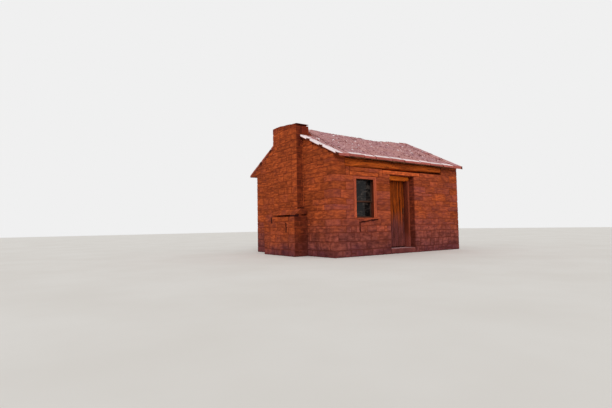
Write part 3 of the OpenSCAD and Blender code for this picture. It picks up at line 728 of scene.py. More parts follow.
def wood_look(light, dark, crack, stain=None, stain_top=0.5, coarse=1.0, depth=0.003,
              painted_shade=None):
    """Weathered wood between two tones, with cracks, greyed towards the ground where a grey is
    given, and darkened in the openings by painted shade where a shade colour is given
    """
    def build(t):
        bright = t.split(t.attribute("tint"))[1]
        streak, fibre, split, height = t.group(
            wood_group(), {"Vector": t.attribute("grain"), "Coarse": coarse})
        colour = t.mix(streak, dark, light)
        colour = t.mix(t.times(fibre, 0.35), colour, dark)
        # Painted shade on faces in the openings' reveals
        if painted_shade is not None:
            colour = t.mix(t.times(painted_shade_share(t, t.place()), 0.85), colour, painted_shade)
        if stain is not None:
            share = damp_share(t, t.place(), stain_top, 0.35)
            colour = t.mix(t.times(share, 0.85), colour, t.mix(fibre, stain, dark))
        colour = t.shaded(colour, bright, 0.82, 1.14)
        colour = t.mix(t.times(split, 0.8), colour, crack)
        return {"Base Color": colour, "Roughness": t.ramp(streak, 0.0, 1.0, 0.75, 0.92),
                "Specular IOR Level": 0.07, "Height": height, "Depth": depth}
    return build


def iron_look(t):
    """Old iron: brown rust over dark metal, rougher where the rust is thick"""
    colours = bpy.context.scene.stone_house.joinery
    place = t.place()
    rust = t.ramp(t.noise(place, 38.0, 6.0, 0.65), 0.36, 0.62)
    fine = t.noise(place, 240.0, 3.0, 0.6)
    colour = t.mix(rust, colours.iron, colours.rust)
    return {"Base Color": colour, "Roughness": t.ramp(rust, 0.0, 1.0, 0.5, 0.9),
            "Metallic": t.ramp(rust, 0.0, 1.0, 0.7, 0.0), "Specular IOR Level": 0.3,
            "Height": t.plus(rust, t.times(fine, 0.5)), "Depth": 0.0012}


def glass_look(t):
    """Old window glass: dusty in patches, with slow waves that bend what it mirrors"""
    colours = bpy.context.scene.stone_house.joinery
    place = t.place()
    wave = t.noise(t.stretch(place, (1.0, 1.0, 0.5)), 5.0, 2.0, 0.4)
    dust = t.noise(t.stretch(place, (1.0, 1.0, 2.6)), 4.5, 5.0, 0.7)
    # The glass itself is near black and mostly opaque: painted shade of the dark room behind it
    colour = t.mix(t.ramp(dust, 0.48, 0.7, 0.0, 0.8), colours.glass, colours.glass_dust)
    return {"Base Color": colour, "Roughness": t.ramp(dust, 0.35, 0.8, 0.04, 0.3),
            "Transmission Weight": 0.1, "IOR": 1.45, "Specular IOR Level": 0.15,
            "Height": wave, "Depth": 0.004}


def look(name):
    """The material of that name"""
    house = bpy.context.scene.stone_house
    roof, joinery = house.roof, house.joinery
    log_crack, wood_crack, grey = roof.log_crack, joinery.wood_crack, joinery.grey_wood_and_shade
    builders = {
        "cut_sandstone": sandstone_look,
        "red_mud": mud_look,
        "slab_stone": slab_look,
        "roof_earth": earth_look,
        "roof_gravel": pebble_look,
        "hewn_log": wood_look(roof.log_light, roof.log_dark, log_crack, coarse=0.8, depth=0.008),
        "roof_board": wood_look(roof.board_light, roof.board_dark, log_crack),
        "head_wood_painted_light": wood_look(roof.head_light, roof.head_dark, log_crack, coarse=0.8,
                               depth=0.006),
        "trim_wood": wood_look(joinery.trim_light, joinery.trim_dark, wood_crack, grey, 0.4,
                               painted_shade=house.walls.painted_shade),
        "sash_wood": wood_look(joinery.sash_light, joinery.sash_dark, wood_crack),
        # On the door the grey reaches up to 0.95 m: painted shade over its lower half
        "door_board": wood_look(joinery.door_light, joinery.door_dark, wood_crack, grey, 0.95),
        "rusty_iron": iron_look,
        "old_glass": glass_look,
    }
    return material(name, builders[name])


# Masonry

ANCHORS = np.array([0.0, WINDOW[0][2], WINDOW[1][2], DOOR_LINTEL[0][2], DOOR_LINTEL[1][2],
                    BOARD_FOOT])
MIN_LAP = 0.015     # a hole that reaches less far into a course leaves it whole


def wavy(points, lift=0.013, reach=0.12):
    """Courses that wander: a slow wave lifts points, and dies out at the openings' edges"""
    calm = np.clip(np.abs(points[..., 2, None] - ANCHORS).min(-1) / reach, 0, 1)
    points[..., 2] += lift * noise(points * (1, 1, 0.6), 0.5, 3) * calm
    return points


def course_levels(anchors, course, seed):
    """Heights of the courses: each gap between anchor heights is shared out unevenly"""
    rng = np.random.default_rng(seed)
    found = [anchors[0]]
    for a, b in zip(anchors, anchors[1:]):
        count = max(1, round((b - a) / course))
        steps = np.cumsum(rng.uniform(0.76, 1.24, count))
        found.extend(a + (b - a) * steps / steps[-1])
    return found


def free_spans(start, end, taken, least=0.04):
    """What is left of a span once the taken stretches are out, without slivers"""
    spans, at = [], start
    for a, b in sorted(taken):
        if a > at:
            spans.append((at, min(a, end)))
        at = max(at, b)
    if at < end:
        spans.append((at, end))
    return [(a, b) for a, b in spans if b - a > least]


def course_cells(start, end, z0, z1, holes):
    """Free stretches of a course: whole where nothing is in the way, in parts beside a hole"""
    near = [h for h in holes if h[2] < z1 - MIN_LAP and h[3] > z0 + MIN_LAP]
    edges = (z for h in near for z in h[2:] if z0 + MIN_LAP < z < z1 - MIN_LAP)
    cuts = sorted({z0, z1, *edges})
    whole = free_spans(start, end, [h[:2] for h in near])
    cells = [(a, b, z0, z1) for a, b in whole]
    for low, high in zip(cuts, cuts[1:]):
        here = [h[:2] for h in near if h[2] < high - 0.01 and h[3] > low + 0.01]
        for a, b in free_spans(start, end, here):
            cells += [(c, d, low, high) for c, d in free_spans(a, b, whole)]
    return cells


def press(points, low, high, limit, least):
    """Presses each block down to where the limit lets it reach, and no thinner than a share"""
    if limit is None:
        return points
    floor = low[:, None, 2]
    height = (high - low)[:, None, 2]
    room = np.clip((limit(points) - floor) / height, least, 1)
    points[..., 2] = floor + (points[..., 2] - floor) * room
    return points


class Masonry:
    """Stones and mud of one stretch of walling, gathered before they are made into pieces"""

    # mauve tilts the stones' tone to mauve: the long walls get more than the gables, as painted
    # cool shade
    def __init__(self, seed, mauve):
        self.walls = bpy.context.scene.stone_house.walls
        self.rng = np.random.default_rng(seed)
        self.seed, self.mauve = seed, mauve
        self.stones, self.beds, self.joints = [], [], []

    def cuts(self, a, b, size):
        """Ends of the stones in a stretch, kept off the joints of the course below"""
        near, move, least, apart = 0.09, 0.11, 0.08, 0.07
        count = max(1, round((b - a) / (size * self.rng.uniform(0.85, 1.15))))
        steps = self.rng.uniform(0.6, 1.4, count).cumsum()
        inner = a + (b - a) * steps[:-1] / steps[-1]
        for below in self.joints:
            close = np.abs(inner - below) < near
            inner = inner + close * np.copysign(move, inner - below)
        inner = np.sort(np.clip(inner, a + least, b - least))
        inner = inner[np.diff(inner, prepend=a) > apart]
        return np.concatenate([[a], inner, [b]])

    def run(self, axis, a, b, z0, z1, face0, face1, size=None, bed=True, deep=0.0):
        """Stones in a row along an axis, from a to b, that reach through from face0 to face1.
        In a high course some are two thin stones, one on the other. deep sinks the mud further.
        Gives the places of the joints between them."""
        turned = slice(None, None, -1) if axis else slice(None)
        half, high_course, lap = self.walls.joint / 2, 0.15, 0.006
        cuts = self.cuts(a, b, size or self.walls.stone_length)
        for c, d in zip(cuts, cuts[1:]):
            levels = [z0, z1]
            if z1 - z0 > high_course and self.rng.random() < self.walls.thin_share:
                levels.insert(1, z0 + (z1 - z0) * self.rng.uniform(0.35, 0.65))
            for foot, top in zip(levels, levels[1:]):
                gap = half * self.rng.uniform(0.5, 1.6, 4)
                back = self.rng.uniform(0, self.walls.unevenness, 2)
                low = (c + gap[0], face0 + back[0])[turned]
                high = (d - gap[1], face1 - back[1])[turned]
                self.stones.append(((*low, foot + gap[2]), (*high, top - gap[3]), axis))
        if bed:
            depth = self.walls.joint_depth + deep
            low = (a + depth, face0 + depth)[turned]
            high = (b - depth, face1 - depth)[turned]
            self.beds.append(((*low, max(z0 - lap, 0)), (*high, z1 + lap), axis))
        return list(cuts[1:-1])

    def wall(self, axis, levels, span, face0, face1, holes=()):
        """Courses of a wall, of shorter stones low down. span gives the start and end of course n,
        whose foot is at z0"""
        low_part, short, long = 0.7, 0.62, 1.1
        for n, (z0, z1) in enumerate(zip(levels, levels[1:])):
            start, end = span(n, z0)
            if end - start < 0.05:
                continue
            size = self.walls.stone_length * (short if z0 < low_part else long)
            joints = [start, end]
            for a, b, c, d in course_cells(start, end, z0, z1, holes):
                joints += self.run(axis, a, b, c, d, face0, face1, size)
            self.joints = joints

    def make(self, name, nodes, limit=None, bend=wavy, soot_and_shade=lambda p: 0 * p[..., 0]):
        """Makes a piece of all the stones, which replaces the nodes, and a piece of the mud.
        limit gives the height that they may reach at each point, and the last argument the share
        of sooty darkening and painted shade."""
        walls, least, tilted = self.walls, 0.12, 0.006
        stones = Piece(name + "_stones", "sandstone", look("cut_sandstone"), replaces=nodes)
        mud = Piece(name + "_mud", "sandstone", look("red_mud"))
        stone_shape = {"edge": 0.016, "radius": walls.rounding, "rough": walls.relief / 2,
                       "grain": np.array([0.22, 0.22, 0.10]), "pillow": walls.pillow,
                       "chip": 0.05}
        mud_shape = {"edge": 0.02, "radius": 0.003, "rough": 0.003, "grain": 0.08}
        kinds = ((stones, self.stones, (11, 3, 6), stone_shape),
                 (mud, self.beds, (24, 3, 4), mud_shape))
        for piece, rows, (along, deep, up), shape in kinds:
            for axis in (0, 1):
                mine = [r for r in rows if r[2] == axis]
                if not mine:
                    continue
                low, high = (np.array([r[n] for r in mine]) for n in (0, 1))
                cells = (deep, along, up) if axis else (along, deep, up)
                points, quads, rim = blocks(low, high, cells, seed=self.seed + axis, **shape)
                tilt = self.rng.normal(0, tilted, (len(mine), 1)) * (piece is stones)
                points[..., 2] += (points[..., axis] - (low + high)[:, None, axis] / 2) * tilt
                points = press(bend(points), low, high, limit, least)
                tint = self.rng.random((len(mine), 3))
                tint[:, 0] = np.clip(self.mauve + 0.7 * (tint[:, 0] - 0.5), 0, 1)
                piece.add(points, quads, tint, marks(rim, soot_and_shade(points)))
        stones.make()
        mud.make()


def marks(first, second=0.0):
    """Two shares at each point, as the vectors of the attribute grain"""
    return np.stack(np.broadcast_arrays(first, second, 0.0), -1)


def wall_levels():
    """Course levels that run round the whole building"""
    course = bpy.context.scene.stone_house.walls.course
    anchors = [0.0, WINDOW[0][2], WINDOW[1][2], DOOR_LINTEL[1][2], BOARD_FOOT, BOARD_FOOT + 1.05]
    return course_levels(anchors, course, 11)


def long_wall_levels():
    """Those levels up to the roof boards, for the front and back walls"""
    return [z for z in wall_levels() if z < BOARD_FOOT - 0.02] + [BOARD_FOOT + WALL * DECK]


def long_span(n, _):
    """Front and back walls hold the corners in every other course"""
    return (0.0, LENGTH) if n % 2 == 0 else (WALL, LENGTH - WALL)


def eaves_limit(points):
    """Underside of the roof boards, or of the coping over the gables' ends"""
    x, y = points[..., 0], points[..., 1]
    ends = np.where(x < WALL, cope_plane(y, left=True), cope_plane(y))
    inside = (x > WALL) & (x < LENGTH - WALL)
    return np.where(inside, roof_plane(y, BOARD_FOOT, DECK), ends) - GAP


def build_front_wall():
    """Front wall: courses round the door, the window, their lintels and the eaves log"""
    holes = [(low[0], high[0], low[2], high[2])
             for low, high in (WINDOW, DOOR_LINTEL, WINDOW_LINTEL)]
    holes += [(DOOR[0][0], DOOR[1][0], 0.0, DOOR_LINTEL[0][2]),
              (LOG[0][0], LOG[1][0], LOG[0][2], ABOVE_ALL)]
    recess = 0.100
    log_top, top = LOG[1][2] + GAP, BOARD_FOOT + WALL * DECK
    # The front wall is tinted cooler than the gables: painted skylit shade
    work = Masonry(21, 0.75)
    work.wall(0, long_wall_levels(), long_span, 0.0, WALL, holes)
    work.run(0, LOG[0][0], LOG[1][0], LOG[0][2], log_top, LOG[1][1] + GAP, WALL)
    work.run(0, LOG[0][0], LOG[1][0], log_top, top, recess, WALL, size=0.3)
    work.make("front_wall", ("front_wall_left", "window_wall_below", "front_wall_pier",
                             "front_wall_right", "front_wall_top"), eaves_limit)


def build_back_wall():
    """Back wall: plain courses from corner to corner"""
    work = Masonry(31, 0.7)
    work.wall(0, long_wall_levels(), long_span, WIDTH - WALL, WIDTH)
    work.make("back_wall", ("back_wall",), eaves_limit)


def build_gable(name, nodes, face0, seed, left, holes=()):
    """Gable: courses up to the slope, with a gap where the chimney is bonded in. Above the long
    walls it holds the corners in every course."""
    across = np.linspace(0, WIDTH, 800)

    def span(n, z0):
        """Where the slope leaves room for a course, between the corners of the long walls"""
        inside = across[cope_plane(across, left) > z0 + 0.05]
        if len(inside) == 0:
            return 0.0, 0.0
        corner = 0.0 if n % 2 or z0 > COPE_FOOT - 0.25 else WALL
        return max(inside[0], corner), min(inside[-1], WIDTH - corner)

    work = Masonry(seed, 0.2)
    work.wall(1, wall_levels(), span, face0, face0 + WALL, holes)
    work.make(name, nodes, lambda p: cope_plane(p[..., 1], left) - GAP)


def build_gables():
    """Both gables. The chimney takes the middle of the left one"""
    chimney = ((STACK[0][1], STACK[1][1], -1.0, ABOVE_ALL),)
    build_gable("left_gable", ("left_gable_front", "left_gable_back"), 0.0, 41, True, chimney)
    build_gable("right_gable", ("right_gable_wall",), LENGTH - WALL, 45, False)


def rough_stone(piece, low, high, cells, seed, bright=0.5, dust=0.0):
    """One long rough stone: a block with rounded edges, sunk by noise"""
    points, quads, rim = blocks(low, high, cells, seed=seed, edge=0.02, radius=0.014,
                                rough=0.004, grain=np.array([0.3, 0.3, 0.12]), chip=0.05)
    tint = np.array([[0.2, bright, np.random.default_rng(seed).random()]])
    piece.add(points, quads, tint, marks(np.maximum(rim, dust)))


def build_lintels():
    """Long flat stones over the door and the window, the threshold and the kneelers"""
    lintels = Piece("lintel_stones", "sandstone", look("cut_sandstone"),
                    replaces=("door_lintel", "window_lintel"))
    inset = np.array([0.012, 0.001, 0.006])
    # bright lifts the lintels well above the other stones: painted light against the shade over
    # them
    for (low, high), seed, bright in ((DOOR_LINTEL, 51, 2.8), (WINDOW_LINTEL, 52, 1.4)):
        rough_stone(lintels, low + inset, high - inset, (26, 5, 5), seed, bright)
    threshold = Piece("threshold_slab", "flat_stone", look("slab_stone"),
                      replaces=("door_threshold",))
    low, high = cad("door_threshold")
    rough_stone(threshold, low + (0.008, 0.004, 0), high - (0.008, 0.004, 0.002), (20, 9, 5), 53,
                dust=0.8)
    kneelers = Piece("kneeler_blocks", "sandstone", look("cut_sandstone"),
                     replaces=("kneeler_stones",))
    low, high = cad("kneeler_stones")
    width = 0.300
    for seed, x in ((57, low[0]), (58, high[0] - width)):
        start = np.array([x + 0.004, low[1], low[2]])
        end = np.array([x + width - 0.004, high[1], high[2]])
        points, quads, rim = blocks(start, end, (8, 9, 5), 0.02, 0.02, 0.006, chip=0.08, seed=seed)
        points = press(points, start[None], end[None], lambda p: cope_plane(p[..., 1]) - 0.003,
                       0.05)
        kneelers.add(points, quads, [(0.4, 0.5, 0.3)], marks(rim))
    for piece in (lintels, threshold, kneelers):
        piece.make()


# Chimney

SHOULDER_BACK = STACK[0][0] + 0.02      # where the shoulder's sloping stones end


def beside_flue(start, end):
    """Stretches from start to end before, behind and outside the flue, each with its inner face"""
    return (start, FLUE_Y[0], 0.0), (FLUE_Y[1], end, 0.0), (*FLUE_Y, FLUE_X[0])


def build_chimney_base():
    """Base round the fireplace: a front row, two side rows and the cheeks inside. Its back part
    ends lower, where the corner is broken off."""
    course = bpy.context.scene.stone_house.walls.course
    low, high = BASE
    fire0, fire1 = HEARTH[0][1], HEARTH[1][1]
    back, fire_top = HEARTH[0][0], CHEEKS[1][2]
    top, side = high[2] - 0.015, 0.30
    levels = course_levels([0.0, BROKEN_TOP, top], course, 71)
    work = Masonry(72, 0.05)
    for n, (z0, z1) in enumerate(zip(levels, levels[1:])):
        over = z0 > BROKEN_TOP - 0.01
        end = BROKEN_END if over else high[1]
        far_face = STACK[0][0] if over else low[0]
        if n % 2 == 0:
            work.joints = work.run(1, low[1], end, z0, z1, low[0], back)
            work.run(0, back, 0.0, z0, z1, low[1], fire0)
            work.run(0, max(far_face, back), 0.0, z0, z1, fire1, high[1])
        else:
            work.run(0, low[0], 0.0, z0, z1, low[1], low[1] + side)
            work.joints = work.run(1, low[1] + side, end if over else end - side, z0, z1, low[0],
                                   back)
            work.run(0, far_face, 0.0, z0, z1, high[1] - side, high[1])
            work.run(0, back, 0.0, z0, z1, low[1] + side, fire0, bed=False)
            work.run(0, max(far_face, back), 0.0, z0, z1, fire1, high[1] - side, bed=False)
    for a, b, inner in beside_flue(fire0, fire1):
        work.run(1, a, b, fire_top, top, back, inner)
    cheek_levels = course_levels([0.0, fire_top], course, 73)
    for a, b in ((CHEEKS[0][1], fire0), (fire1, CHEEKS[1][1])):
        for z0, z1 in zip(cheek_levels, cheek_levels[1:]):
            work.run(0, 0.0, WALL, z0, z1, a, b)
    work.make("chimney_base", ("chimney_base", "fireplace_cheeks"))


def leaning(points):
    """Leans the shoulder's outer and back faces in to the stack, the more the higher they are"""
    low, high = SHOULDER
    share = np.clip((points[..., 2] - low[2]) / (high[2] - low[2]), 0, 1)
    outer = np.clip((SHOULDER_BACK - points[..., 0]) / (SHOULDER_BACK - low[0]), 0, 1)
    behind = np.clip((points[..., 1] - BROKEN_END) / (high[1] - BROKEN_END), 0, 1)
    points[..., 0] += share * outer * (STACK[0][0] - low[0])
    points[..., 1] -= share * behind * (high[1] - STACK[1][1])
    return points


def build_chimney_shoulder():
    """Stones that carry the base in to the stack, over an open joint"""
    low, high = SHOULDER
    foot, side, open_joint = low[2] + 0.022, low[1] + 0.25, 0.045
    work = Masonry(81, 0.3)
    work.run(1, side, BROKEN_END, foot, high[2], low[0], SHOULDER_BACK, 0.34, deep=open_joint)
    work.run(0, low[0], SHOULDER_BACK, low[2] - 0.012, high[2], low[1], side)
    for a, b, inner in beside_flue(low[1], high[1]):
        work.run(1, a, b, foot, high[2], SHOULDER_BACK, inner, 0.32, deep=open_joint)
    work.make("chimney_shoulder", ("chimney_shoulder",), bend=leaning)


def stack_crest(y):
    """Height of the stack's top, lowest at its front corner"""
    front, back, top = STACK[0][1], STACK[1][1], STACK[1][2]
    return np.interp(y, [front, front + 0.30, back - 0.42, back],
                     [top - 0.132, top - 0.060, top, top])


def stack_limit(points):
    """Ragged top of the stack, which noise lowers, and the wall's top behind it"""
    y = points[..., 1]
    crest = stack_crest(y) - 0.006 - 0.010 * (1 + noise(points * (1, 1, 0), 0.16, 8))
    behind = cope_plane(y) + BOND_RISE - GAP
    return np.where(points[..., 0] > STACK_BACK + 0.01, behind, crest)


def stack_soot_and_shade(points):
    """Share of sooty darkening under the stack's top, with painted shade where it reaches furthest
    down on the front-facing side
    """
    x, y, z = (points[..., n] for n in range(3))
    near = np.clip((STACK[0][1] + 0.6 - y) / 0.4, 0, 1)
    front = near * np.clip((x - STACK[0][0] - 0.02) / 0.05, 0, 1)
    reach = 0.17 + 0.06 * near + 0.28 * front + 0.08 * noise(points, 0.16, 5)
    return np.clip((z - stack_crest(y) + reach) / 0.10, 0, 1) * (0.75 + 0.25 * front)


def build_chimney_stack():
    """Stack: stones in rings round the flue, and the gable's own stones behind it"""
    course = bpy.context.scene.stone_house.walls.course
    (x0, y0, _), (_, y1, top) = STACK
    foot = SHOULDER[1][2]
    levels = [foot, *[z for z in wall_levels() if foot + 0.06 < z < top - 0.10]]
    levels += list(np.linspace(levels[-1], top, 1 + round((top - levels[-1]) / course)))[1:]
    work = Masonry(91, 0.05)
    for n, (z0, z1) in enumerate(zip(levels, levels[1:])):
        side = 0.27 * (n % 2)
        if side:
            for a, b in ((y0, y0 + side), (y1 - side, y1)):
                work.run(0, x0, STACK_BACK, z0, z1, a, b, size=0.5)
        work.joints = work.run(1, y0 + side, y1 - side, z0, z1, x0, FLUE_X[0], size=0.36)
        work.run(1, y0 + side, y1 - side, z0, z1, FLUE_X[1], STACK_BACK)
        for a, b in ((y0 + side, FLUE_Y[0]), (FLUE_Y[1], y1 - side)):
            work.run(1, a, b, z0, z1, *FLUE_X, size=0.5)
    inner = [cad("fireplace_lintel")[1][2], *levels]
    across = np.linspace(y0, y1, 400)
    for z0, z1 in zip(inner, inner[1:]):
        inside = across[cope_plane(across) > z0 + 0.03]
        if len(inside) and inside[-1] - inside[0] > 0.1:
            work.run(1, inside[0], inside[-1], z0, z1, STACK_BACK, WALL)
    work.make("chimney_stack", ("chimney_stack",), stack_limit, soot_and_shade=stack_soot_and_shade)


def build_fireplace():
    """Long stone over the fireplace, the stones round the flue there and the hearth"""
    lintel = Piece("fireplace_lintel_stone", "sandstone", look("cut_sandstone"),
                   replaces=("fireplace_lintel",))
    low, high = cad("fireplace_lintel")
    foot, top = low[2] + 0.004, high[2] - 0.006
    rough_stone(lintel, (FLUE_X[1] + 0.008, low[1] + 0.004, foot),
                (high[0] - 0.003, high[1] - 0.004, top), (5, 18, 6), 101)
    for a, b in ((low[1], FLUE_Y[0]), (FLUE_Y[1], high[1])):
        rough_stone(lintel, (0.003, a + 0.004, foot), (FLUE_X[1] + 0.002, b - 0.004, top),
                    (4, 7, 5), 102)
    hearth = Piece("hearth_slab", "flat_stone", look("slab_stone"), replaces=("hearth_stone",))
    low, high = HEARTH
    rough_stone(hearth, (low[0] + 0.004, low[1] + 0.004, 0.0),
                (high[0] - 0.006, high[1] - 0.004, high[2] - 0.002), (18, 16, 5), 103)
    lintel.make()
    hearth.make()


# Roof

def loose_boxes(node, axis, reach=2e-4):
    """Box of each stone of a row node, told apart by where its ends lie along an axis"""
    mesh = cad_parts[node].data
    points = np.zeros(len(mesh.vertices) * 3)
    mesh.vertices.foreach_get("co", points)
    points = points.reshape(-1, 3) - ORIGIN
    ends = np.unique(points[:, axis].round(4))
    for a, b in zip(ends[::2], ends[1::2]):
        part = points[(points[:, axis] > a - reach) & (points[:, axis] < b + reach)]
        yield part.min(0), part.max(0)


def edge_stone(piece, low, high, slope, bare, side_tone_and_shade, seed):
    """Flat edge stone in the box from low to high: a block whose outline noise wears in, the more
    the nearer to its edge, whose top noise lowers, and which is then tilted by the slope.
    bare gives the axis, the end and the width of its bare strip, beyond which dust lies on it.
    The next-to-last argument gives shares of its height and the tone its outer side has there:
    -1 is pale, 0 pink, 1 orange and 2 dark; pink, orange and dark are painted shade. On a gable
    its outer low corner is dark too, a painted shadow in the joint."""
    rng = np.random.default_rng(seed)
    rise = high[2] - low[2] - abs(slope) * (high[1] - low[1])
    start, end = np.array([low[0], low[1], 0.0]), np.array([high[0], high[1], rise])
    points, quads, _ = blocks(start, end, (16, 16, 7), edge=0.012, radius=0.012, rough=0.003,
                              grain=0.12, seed=seed)
    middle = (start + end) / 2
    from_middle = np.abs(points - middle) / ((end - start) / 2)
    worn = 0.011 * (1 + layered(points * (1, 1, 2.0) + seed, 0.17, seed))
    for axis in (0, 1):
        share = np.clip((from_middle[..., axis] - 0.55) / 0.45, 0, 1)
        points[..., axis] -= np.sign(points[..., axis] - middle[axis]) * share * worn
    sag = 0.005 * (1 + noise(points * (1, 1, 0) + seed, 0.22, seed + 3))
    points[..., 2] -= sag * (points[..., 2] > rise / 2)
    axis, from_high, width = bare
    reach = end[axis] - points[..., axis] if from_high else points[..., axis] - start[axis]
    dust = np.clip((reach - width) / 0.06 + 0.5, 0, 1)
    # Outer sides get the tones of painted shade by height, the rest a pale pink
    side_tone_and_shade = np.where(reach < 0.02, np.interp(points[..., 2] / rise, *side_tone_and_shade), 0.1)
    # Dark corner on the gables' stones: painted shadow in the joint between stones
    corner = (np.hypot(reach, points[..., 1] - start[1]) < 0.075) & (axis == 0)
    side_tone_and_shade = np.where(corner, 2.0, side_tone_and_shade)
    foot = low[1] if slope > 0 else high[1]
    points[..., 2] += low[2] + slope * (points[..., 1] - foot)
    piece.add(points, quads, rng.random((1, 3)), marks(dust, side_tone_and_shade))


# Tones of painted shade on outer sides by share of height: pink, orange, and dark shadow lines
# between layers under a pale top
PINK = ((0, 1), (0.1, 0.1))
ORANGE = ((0, 1), (0.8, 0.6))
LAYERED = ((0.19, 0.24, 0.28, 0.36, 0.43), (2, 1, 1, 2, -1))


def build_edge_stones():
    """Eaves stones along the front and back, and coping stones up both gables"""
    deck = (DECK + STEEPER, -DECK)
    rows = {
        "front_eaves": (0, deck, (1, False, 0.15), PINK, PINK),
        "back_eaves": (0, deck, (1, True, 0.15), PINK, PINK),
        "left_coping": (1, (COPE + STEEPER - SINKING, -COPE), (0, False, 0.20), LAYERED, ORANGE),
        "right_coping": (1, (COPE + STEEPER, -COPE), (0, True, 0.08), ORANGE, ORANGE),
    }
    for count, (name, (axis, slopes, bare, *tones)) in enumerate(rows.items()):
        piece = Piece(name + "_slabs", "flat_stone", look("slab_stone"),
                      replaces=(name + "_stones",))
        for n, (low, high) in enumerate(loose_boxes(name + "_stones", axis)):
            back = int(low[1] + high[1] > WIDTH)
            edge_stone(piece, low, high, slopes[back], bare, tones[back], 111 + 20 * count + n)
        piece.make()


def earth_depth(x, y, y_edge, ridge=0.165, reach=0.280):
    """Depth of the earth: it thickens from the slabs' height to a depth at the ridge, rounds over
    it within a reach, and sags along it in two waves"""
    v = np.abs(y - y_edge) / abs(MID - y_edge)
    near = np.clip(1 - np.abs(MID - y) / reach, 0, 1)
    rounding = 0.25 * DECK * reach * near ** 2
    sag = 0.026 * np.cos(2 * math.pi * (x - 4.9) / 4.2) + 0.012 * np.sin(2 * math.pi * x / 1.9)
    edge = SLAB_THICK / math.cos(DECK_ANGLE)
    return edge + (ridge - edge) * v - rounding + (sag - 0.030) * v ** 2


def earth_height(x, y, y_edge):
    """Depth of the earth with its clods, runnels and worn edge"""
    where = np.stack([x, y, np.zeros_like(x)], -1)
    lumps = 0.010 * layered(where, 0.55, 155) + 0.006 * layered(where, 0.14, 162)
    runnels = 0.005 * layered(where * (1, 0.28, 1), 0.10, 168)
    grit = 0.0035 * layered(where, 0.045, 172, 2)
    v = np.abs(y - y_edge) / abs(MID - y_edge)
    return earth_depth(x, y, y_edge) + (lumps + runnels + grit - 0.006) * np.clip(6 * v, 0.2, 1)


def build_earth():
    """Earth covering of both slopes: a box grid whose top lies at the earth's height"""
    cells = (176, 80, 1)
    for name, y_edge in zip(("earth_front", "earth_back"), EARTH_EDGES):
        low, high = cad(name)
        lattice, quads = box_grid(cells)
        share = lattice / np.array(cells)
        x = WALL + share[:, 0] * (LENGTH - 2 * WALL)
        y = low[1] + share[:, 1] * (high[1] - low[1])
        z = share[:, 2] * earth_height(x, y, y_edge) + roof_plane(y, COVER_FOOT, DECK)
        piece = Piece(name + "_cover", "earth", look("roof_earth"), replaces=(name,), smooth=70)
        piece.add(np.stack([x, y, z], -1), quads)
        piece.make()


def build_gravel():
    """Gravel on the earth and on the coping: small balls, drawn out and dented by noise, spun and
    sunk part way into what they lie on. The first ones are larger and flatter."""
    rng = np.random.default_rng(171)
    count = bpy.context.scene.stone_house.roof.pebbles
    large, left_top, right_top, clear_of_stack = 18, 0.078, 0.094, 0.03
    x = rng.uniform(0.16, LENGTH - 0.10, count)
    y = rng.uniform(EARTH_EDGES[0], EARTH_EDGES[1], count)
    size = 0.008 + 0.020 * rng.random(count) ** 3
    size[:large] = rng.uniform(0.03, 0.075, large)
    lattice, quads = box_grid((2, 2, 2))
    ball = (lattice - 1.0) / np.linalg.norm(lattice - 1.0, axis=1, keepdims=True)
    shape = size[:, None, None] * rng.uniform([0.8, 0.8, 0.35], [1.5, 1.5, 0.8], (count, 1, 3))
    shape[:large, :, 2] *= 0.5
    local = ball[None] * shape
    dents = layered(local + rng.uniform(-9, 9, (count, 1, 3)), 0.02)
    local = local * (1 + 0.18 * dents)[..., None]
    turn = rng.uniform(0, math.pi, count)[:, None]
    c, s = np.cos(turn), np.sin(turn)
    spun = np.stack([local[..., 0] * c - local[..., 1] * s,
                     local[..., 0] * s + local[..., 1] * c, local[..., 2]], -1)
    edge = np.where(y < MID, *EARTH_EDGES)
    on_earth = earth_height(x, y, edge) + roof_plane(y, COVER_FOOT, DECK)
    left, right = x < WALL, x > LENGTH - WALL
    height = np.where(left, cope_plane(y, left=True) + left_top, on_earth)
    height = np.where(right, cope_plane(y) + right_top, height)
    beside = (y > STACK[0][1] - clear_of_stack) & (y < STACK[1][1] + clear_of_stack)
    points = spun + np.stack([x, y, height + 0.1 * size], -1)[:, None, :]
    slope = np.where(y < MID, DECK + STEEPER, -DECK)[:, None]
    points[..., 2] += spun[..., 1] * slope
    points[..., 2] -= np.maximum(points[..., 2].max(1) - ROOF_TOP, 0)[:, None]
    piece = Piece("roof_pebbles", "flat_stone", look("roof_gravel"), smooth=80)
    tint = rng.random((count, 3))
    tint[:large, 1] = rng.uniform(0.75, 1.0, large)
    kept = ~(left & beside)
    piece.add(points[kept], quads, tint[kept])
    piece.make()


def build_roof_boards():
    """Boards side by side from eaves to ridge, of uneven width and length"""
    count, gap, under = 23, 0.003, 0.002
    for side, seed in (("front", 181), ("back", 191)):
        node = "roof_boards_" + side
        low, high = cad(node)
        rng = np.random.default_rng(seed)
        steps = rng.uniform(0.7, 1.3, count).cumsum()
        cuts = low[0] + (high[0] - low[0]) * np.concatenate([[0], steps / steps[-1]])
        start = np.stack([cuts[:-1] + gap, np.full(count, low[1]), np.zeros(count)], -1)
        end = np.stack([cuts[1:] - gap, np.full(count, high[1]),
                        np.full(count, BOARD_RISE - under)], -1)
        shorten = rng.uniform(0, 0.03, count)
        if side == "back":
            end[:, 1] -= shorten
        else:
            start[:, 1] += shorten
        points, quads, _ = blocks(start, end, (4, 12, 3), 0.006, 0.005, 0.0008, 0.1, seed=seed)
        grain = points[..., [1, 0, 2]] + rng.uniform(-30, 30, (count, 1, 3))
        points[..., 2] += roof_plane(points[..., 1], BOARD_FOOT, DECK)
        piece = Piece(f"roof_{side}_boards", "hewn_timber", look("roof_board"), replaces=(node,))
        piece.add(points, quads, rng.random((count, 3)), grain)
        piece.make()


